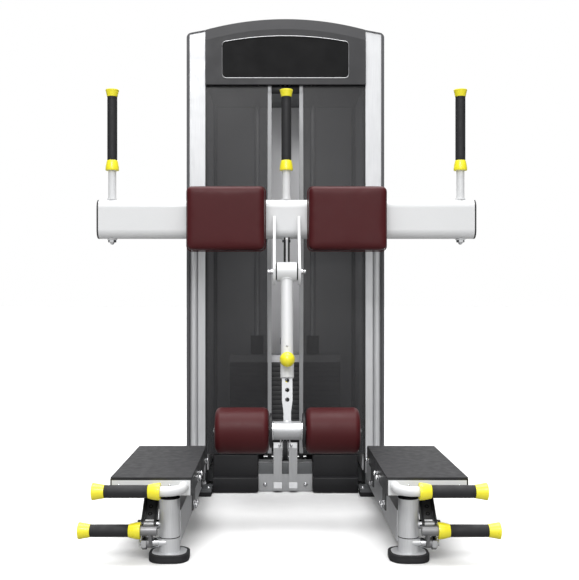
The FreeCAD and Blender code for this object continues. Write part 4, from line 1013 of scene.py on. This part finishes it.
dark_plate = bmesh.new()
box_into(dark_plate, (-92.6, 290.4, 60.4), (92.6, 292, 99.6), 0.5, 2)
made_of("bracket_face", dark_plate, GREY_PAINT, "machine_frame")
stop = bmesh.new()
tyre = in_mm((26, 0), (32, 0), (34.3, 2), (34.3, 18.6), (32, 20.6), (26, 20.6), (26, 0))
turn_into(stop, tyre, along((-10.3, *STOP_ROLLER), "X"), 56)
made_of("stop_tyre", stop, RUBBER, "machine_frame")
strip_ends = bmesh.new()
for sign in SIDES.values():
    low, high = sorted((sign * 47.4, sign * 61.6))
    box_into(strip_ends, (low, 275.4, 119), (high, 294.6, 134), 1, 2)
box_into(strip_ends, (-47.8, 279, 1377.4), (47.8, 290, 1403), 1, 2)
made_of("strip_ends", strip_ends, NYLON, "machine_frame", ["slot_bridge"])
strip_tops = bmesh.new()
for sign in SIDES.values():
    low, high = sorted((sign * 48, sign * 61))
    box_into(strip_tops, (low, 276, 1377), (high, 294, 1403), 0.8, 2)
made_of("strip_tops", strip_tops, STRIP_METAL, "machine_frame")

# Pale lining inside the tower's dark covers; its paleness is partly painted light, standing in for
# the light that reaches the tower's inside.
ceiling = bmesh.new()
box_into(ceiling, (-268, 295, 1398.5), (268, 590, 1403), 1, 2)
made_of("tower_ceiling", ceiling, GREY_PAINT, "machine_frame")
lining = bmesh.new()
box_into(lining, (-256, 590.5, 72), (256, 594.5, 1398), 1, 2)
for sign in SIDES.values():
    low, high = sorted((sign * 268, sign * 272))
    box_into(lining, (low, 300, 72), (high, 555, 1398), 1, 2)
made_of("tower_lining", lining, LINER, "machine_frame")
cover_screws = bmesh.new()
for sign in SIDES.values():
    outward = away(sign)
    for y in (430, 545):
        for z in (120, 520, 930, 1340):
            ring_into(cover_screws, along((sign * 275.8, y, z), outward), 8, 2, 1)
            dome_into(cover_screws, along((sign * 276.8, y, z), outward), 5, 2.6)
made_of("cover_screws", cover_screws, STEEL, "machine_frame")

covers = bmesh.new()
for sign in SIDES.values():
    low, high = sorted((sign * 94.3, sign * 250))
    box_into(covers, (low, 256, 4), (high, 290, 53), 3)
    box_into(covers, (low, 283, 4), (high, 330, 127), 3)
made_of("low_covers", covers, BLACK_PLASTIC, "machine_frame", ["lower_covers"])


def outline_at(center_x, center_y, half_x, half_y, corner, inset, level, steps=10):
    """A rounded rectangle at one height, pulled in by inset."""
    points = []
    radius = max(corner - inset, 0.5)
    for sign_x, sign_y, start in ((1, 1, 0), (-1, 1, 90), (-1, -1, 180), (1, -1, 270)):
        x = center_x + sign_x * (half_x - inset - radius)
        y = center_y + sign_y * (half_y - inset - radius)
        for step in range(steps + 1):
            angle = math.radians(start + 90 * step / steps)
            round_x, round_y = radius * math.cos(angle), radius * math.sin(angle)
            points.append(Vector((x + round_x, y + round_y, level)))
    return points


def loft_into(work, center, half, corner, levels):
    """Stacks rounded rectangles (inset, height) into a closed solid."""
    rings = []
    for inset, level in levels:
        outline = outline_at(*center, *half, corner, inset, level)
        rings.append([work.verts.new(point * MM) for point in outline])
    count = len(rings[0])
    for first, second in zip(rings, rings[1:]):
        for step in range(count):
            after = (step + 1) % count
            work.faces.new((first[step], first[after], second[after], second[step]))
    work.faces.new(rings[0])
    work.faces.new(rings[-1])


shoes = bmesh.new()
SHOE_LEVELS = [(3, 0), (0.6, 1.2), (0, 3), (0, 12), (0.8, 14.2), (2.4, 15)]
for sign in SIDES.values():
    for levels in (SHOE_LEVELS, [(0, 13), (0, 18.5), (1, 19.6), (4.5, 19.8)]):
        loft_into(shoes, (sign * POST_X, POST_Y), (51.5, 47), 36, levels)
    loft_into(shoes, (sign * 291, 235), (40, 30), 4, SHOE_LEVELS)
    loft_into(shoes, (sign * 304, 548.5), (27, 30), 4, SHOE_LEVELS)
made_of("rubber_shoes", shoes, RUBBER, "machine_frame", ["rubber_feet"])

post_trim = bmesh.new()
post_cap = in_mm((0, 166), (20, 165), (25.5, 162), (26.8, 160), (26.8, 157), (0, 157))
for sign in SIDES.values():
    ring_into(post_trim, along((sign * POST_X, POST_Y, 57), "Z"), 27.1, 26, 2.2, 64)
    foot = Matrix.Translation((sign * POST_X * MM, POST_Y * MM, 0))
    turn_into(post_trim, post_cap, foot, 64)
made_of("post_trim", post_trim, NYLON, "machine_frame")

# ----------------------------------------------------------------- platforms

for side, sign in SIDES.items():
    x_low, x_high = sorted((sign * 245.4, sign * 450.6))
    mat = bmesh.new()
    box_into(mat, (x_low, -517.6, 214.6), (x_high, -62.4, 219), 1.6)
    made_of("deck_mat_" + side, mat, MAT, "platform_" + side, ["platform_mat_" + side])
    # A drilled strip between the two straps of the front link.
    low, high = sorted((sign * 347, sign * 371))
    strip = bmesh.new()
    turn = along((0, *FRONT_PIVOT), "Z") @ Matrix.Rotation(math.radians(LINK_TILT), 4, "X")
    box_into(strip, (low, 12, 1.3), (high, 106, 3.6), 0.6, 2, turn)
    made_of("link_strip_" + side, strip, LINK_GREY, "front_links_" + side)
    holes = bmesh.new()
    for distance in (28, 50, 72, 94):
        spot = turn @ Matrix.Translation(Vector((sign * 359, distance, 3.5)) * MM)
        ring_into(holes, spot, 5.6, 3.2, 0.9, 24)
    made_of("link_bushes_" + side, holes, NYLON, "front_links_" + side)

# ------------------------------------------------------------- display outline


def display_outline(half, bottom, shoulder, top, corner):
    """Points round the display: straight sides, rounded corners and an arched top."""
    rise = top - shoulder
    radius = (half * half + rise * rise) / (2 * rise)

    def arch(x):
        return top - radius + math.sqrt(radius * radius - x * x)

    points = []
    for start, center_x in ((180, -half + corner), (270, half - corner)):
        for step in range(9):
            angle = math.radians(start + 90 * step / 8)
            points.append(
                (center_x + corner * math.cos(angle), bottom + corner + corner * math.sin(angle))
            )
    inner = half - corner
    lean = math.degrees(math.asin(inner / radius))
    corner_z = arch(inner) - corner * math.cos(math.radians(lean))
    for step in range(9):
        angle = math.radians((90 - lean) * step / 8)
        points.append((inner + corner * math.cos(angle), corner_z + corner * math.sin(angle)))
    for step in range(1, 40):
        x = inner - 2 * inner * step / 40
        points.append((x, arch(x)))
    for step in range(9):
        angle = math.radians(90 + lean + (90 - lean) * step / 8)
        points.append((-inner + corner * math.cos(angle), corner_z + corner * math.sin(angle)))
    return points


outline = [
    Vector((x, 262.2, z)) * MM for x, z in display_outline(217.6, 1426.4, 1549.6, 1570.6, 14)
]
made = closed_tube("display_bead", outline, 1.15 * MM, BRIGHT_BEAD, "machine_frame", 8)

# ---------------------------------------------------------------- the stage

floor_mesh = bpy.data.meshes.new("floor")
FLOOR_REACH = 60
corners = [(x * FLOOR_REACH, y * FLOOR_REACH, 0) for x, y in ((-1, -1), (1, -1), (1, 1), (-1, 1))]
floor_mesh.from_pydata(corners, [], [(0, 1, 2, 3)])
floor = bpy.data.objects.new("floor", floor_mesh)
scene.collection.objects.link(floor)
floor_finish = Finish("floor_paint", (0.3, 0.3, 0.3, 1), 0.8, mottle=0.01, mottle_size=2)
# The paint counts as brighter where the camera sees it than where the machine is lit by it.
looked_at = floor_finish.tree.nodes.new("ShaderNodeLightPath").outputs["Is Camera Ray"]
floor_finish.tint((0.99, 0.99, 0.99, 1), looked_at)
floor_mesh.materials.append(floor_finish.done(Specular_IOR_Level=0.1))
floor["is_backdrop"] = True

# A white studio, brighter overhead and darker to the two sides.
world = bpy.data.worlds.new("studio")
scene.world = world
world.use_nodes = True
tree = world.node_tree
background = tree.nodes["Background"]
direction = tree.nodes.new("ShaderNodeTexCoord").outputs["Generated"]
split = tree.nodes.new("ShaderNodeSeparateXYZ")
tree.links.new(direction, split.inputs["Vector"])


def math_node(operation, first, second=0.0):
    made = tree.nodes.new("ShaderNodeMath")
    made.operation = operation
    for index, value in enumerate((first, second)):
        if isinstance(value, (int, float)):
            made.inputs[index].default_value = value
        else:
            tree.links.new(value, made.inputs[index])
    return made.outputs[0]


def eased(source, low, high, to_low, to_high):
    made = tree.nodes.new("ShaderNodeMapRange")
    made.interpolation_type = "SMOOTHSTEP"
    limits = {"From Min": low, "From Max": high, "To Min": to_low, "To Max": to_high}
    for key, value in limits.items():
        made.inputs[key].default_value = value
    tree.links.new(source, made.inputs["Value"])
    return made.outputs["Result"]


overhead = eased(split.outputs["Z"], 0.1, 0.95, 0.8, 2.1)
sideways = eased(math_node("ABSOLUTE", split.outputs["X"]), 0.2, 0.85, 1.0, 0.04)
lit = math_node("MULTIPLY", overhead, sideways)
seen = tree.nodes.new("ShaderNodeLightPath").outputs["Is Camera Ray"]
strength = tree.nodes.new("ShaderNodeMix")
tree.links.new(seen, strength.inputs[0])
tree.links.new(lit, strength.inputs[2])
strength.inputs[3].default_value = 1.0
tree.links.new(strength.outputs[0], background.inputs["Strength"])
background.inputs["Color"].default_value = (1, 1, 1, 1)


def softbox(name, place, aim, size, power):
    data = bpy.data.lights.new(name, "AREA")
    data.shape = "RECTANGLE"
    data.size, data.size_y = size
    data.energy = power
    light = bpy.data.objects.new(name, data)
    light.location = place
    light.rotation_euler = (Vector(aim) - Vector(place)).to_track_quat("-Z", "Y").to_euler()
    scene.collection.objects.link(light)


MIDDLE = (0, 0, 0.8)
softbox("key", (-0.5, -3.4, 3.0), MIDDLE, (1.2, 1.2), 54)
softbox("strip", (0.6, -3.6, 1.2), MIDDLE, (0.3, 2.0), 9)
softbox("top", (0, 0.2, 4.0), MIDDLE, (3.0, 2.4), 95)
# A panel inside the tower stands for the daylight that comes in round its covers.
softbox("inside", (0, 0.3, 0.78), (0, 1, 0.78), (0.5, 1.2), 0.45)

# ------------------------------------------------------------------- finish

low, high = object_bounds()
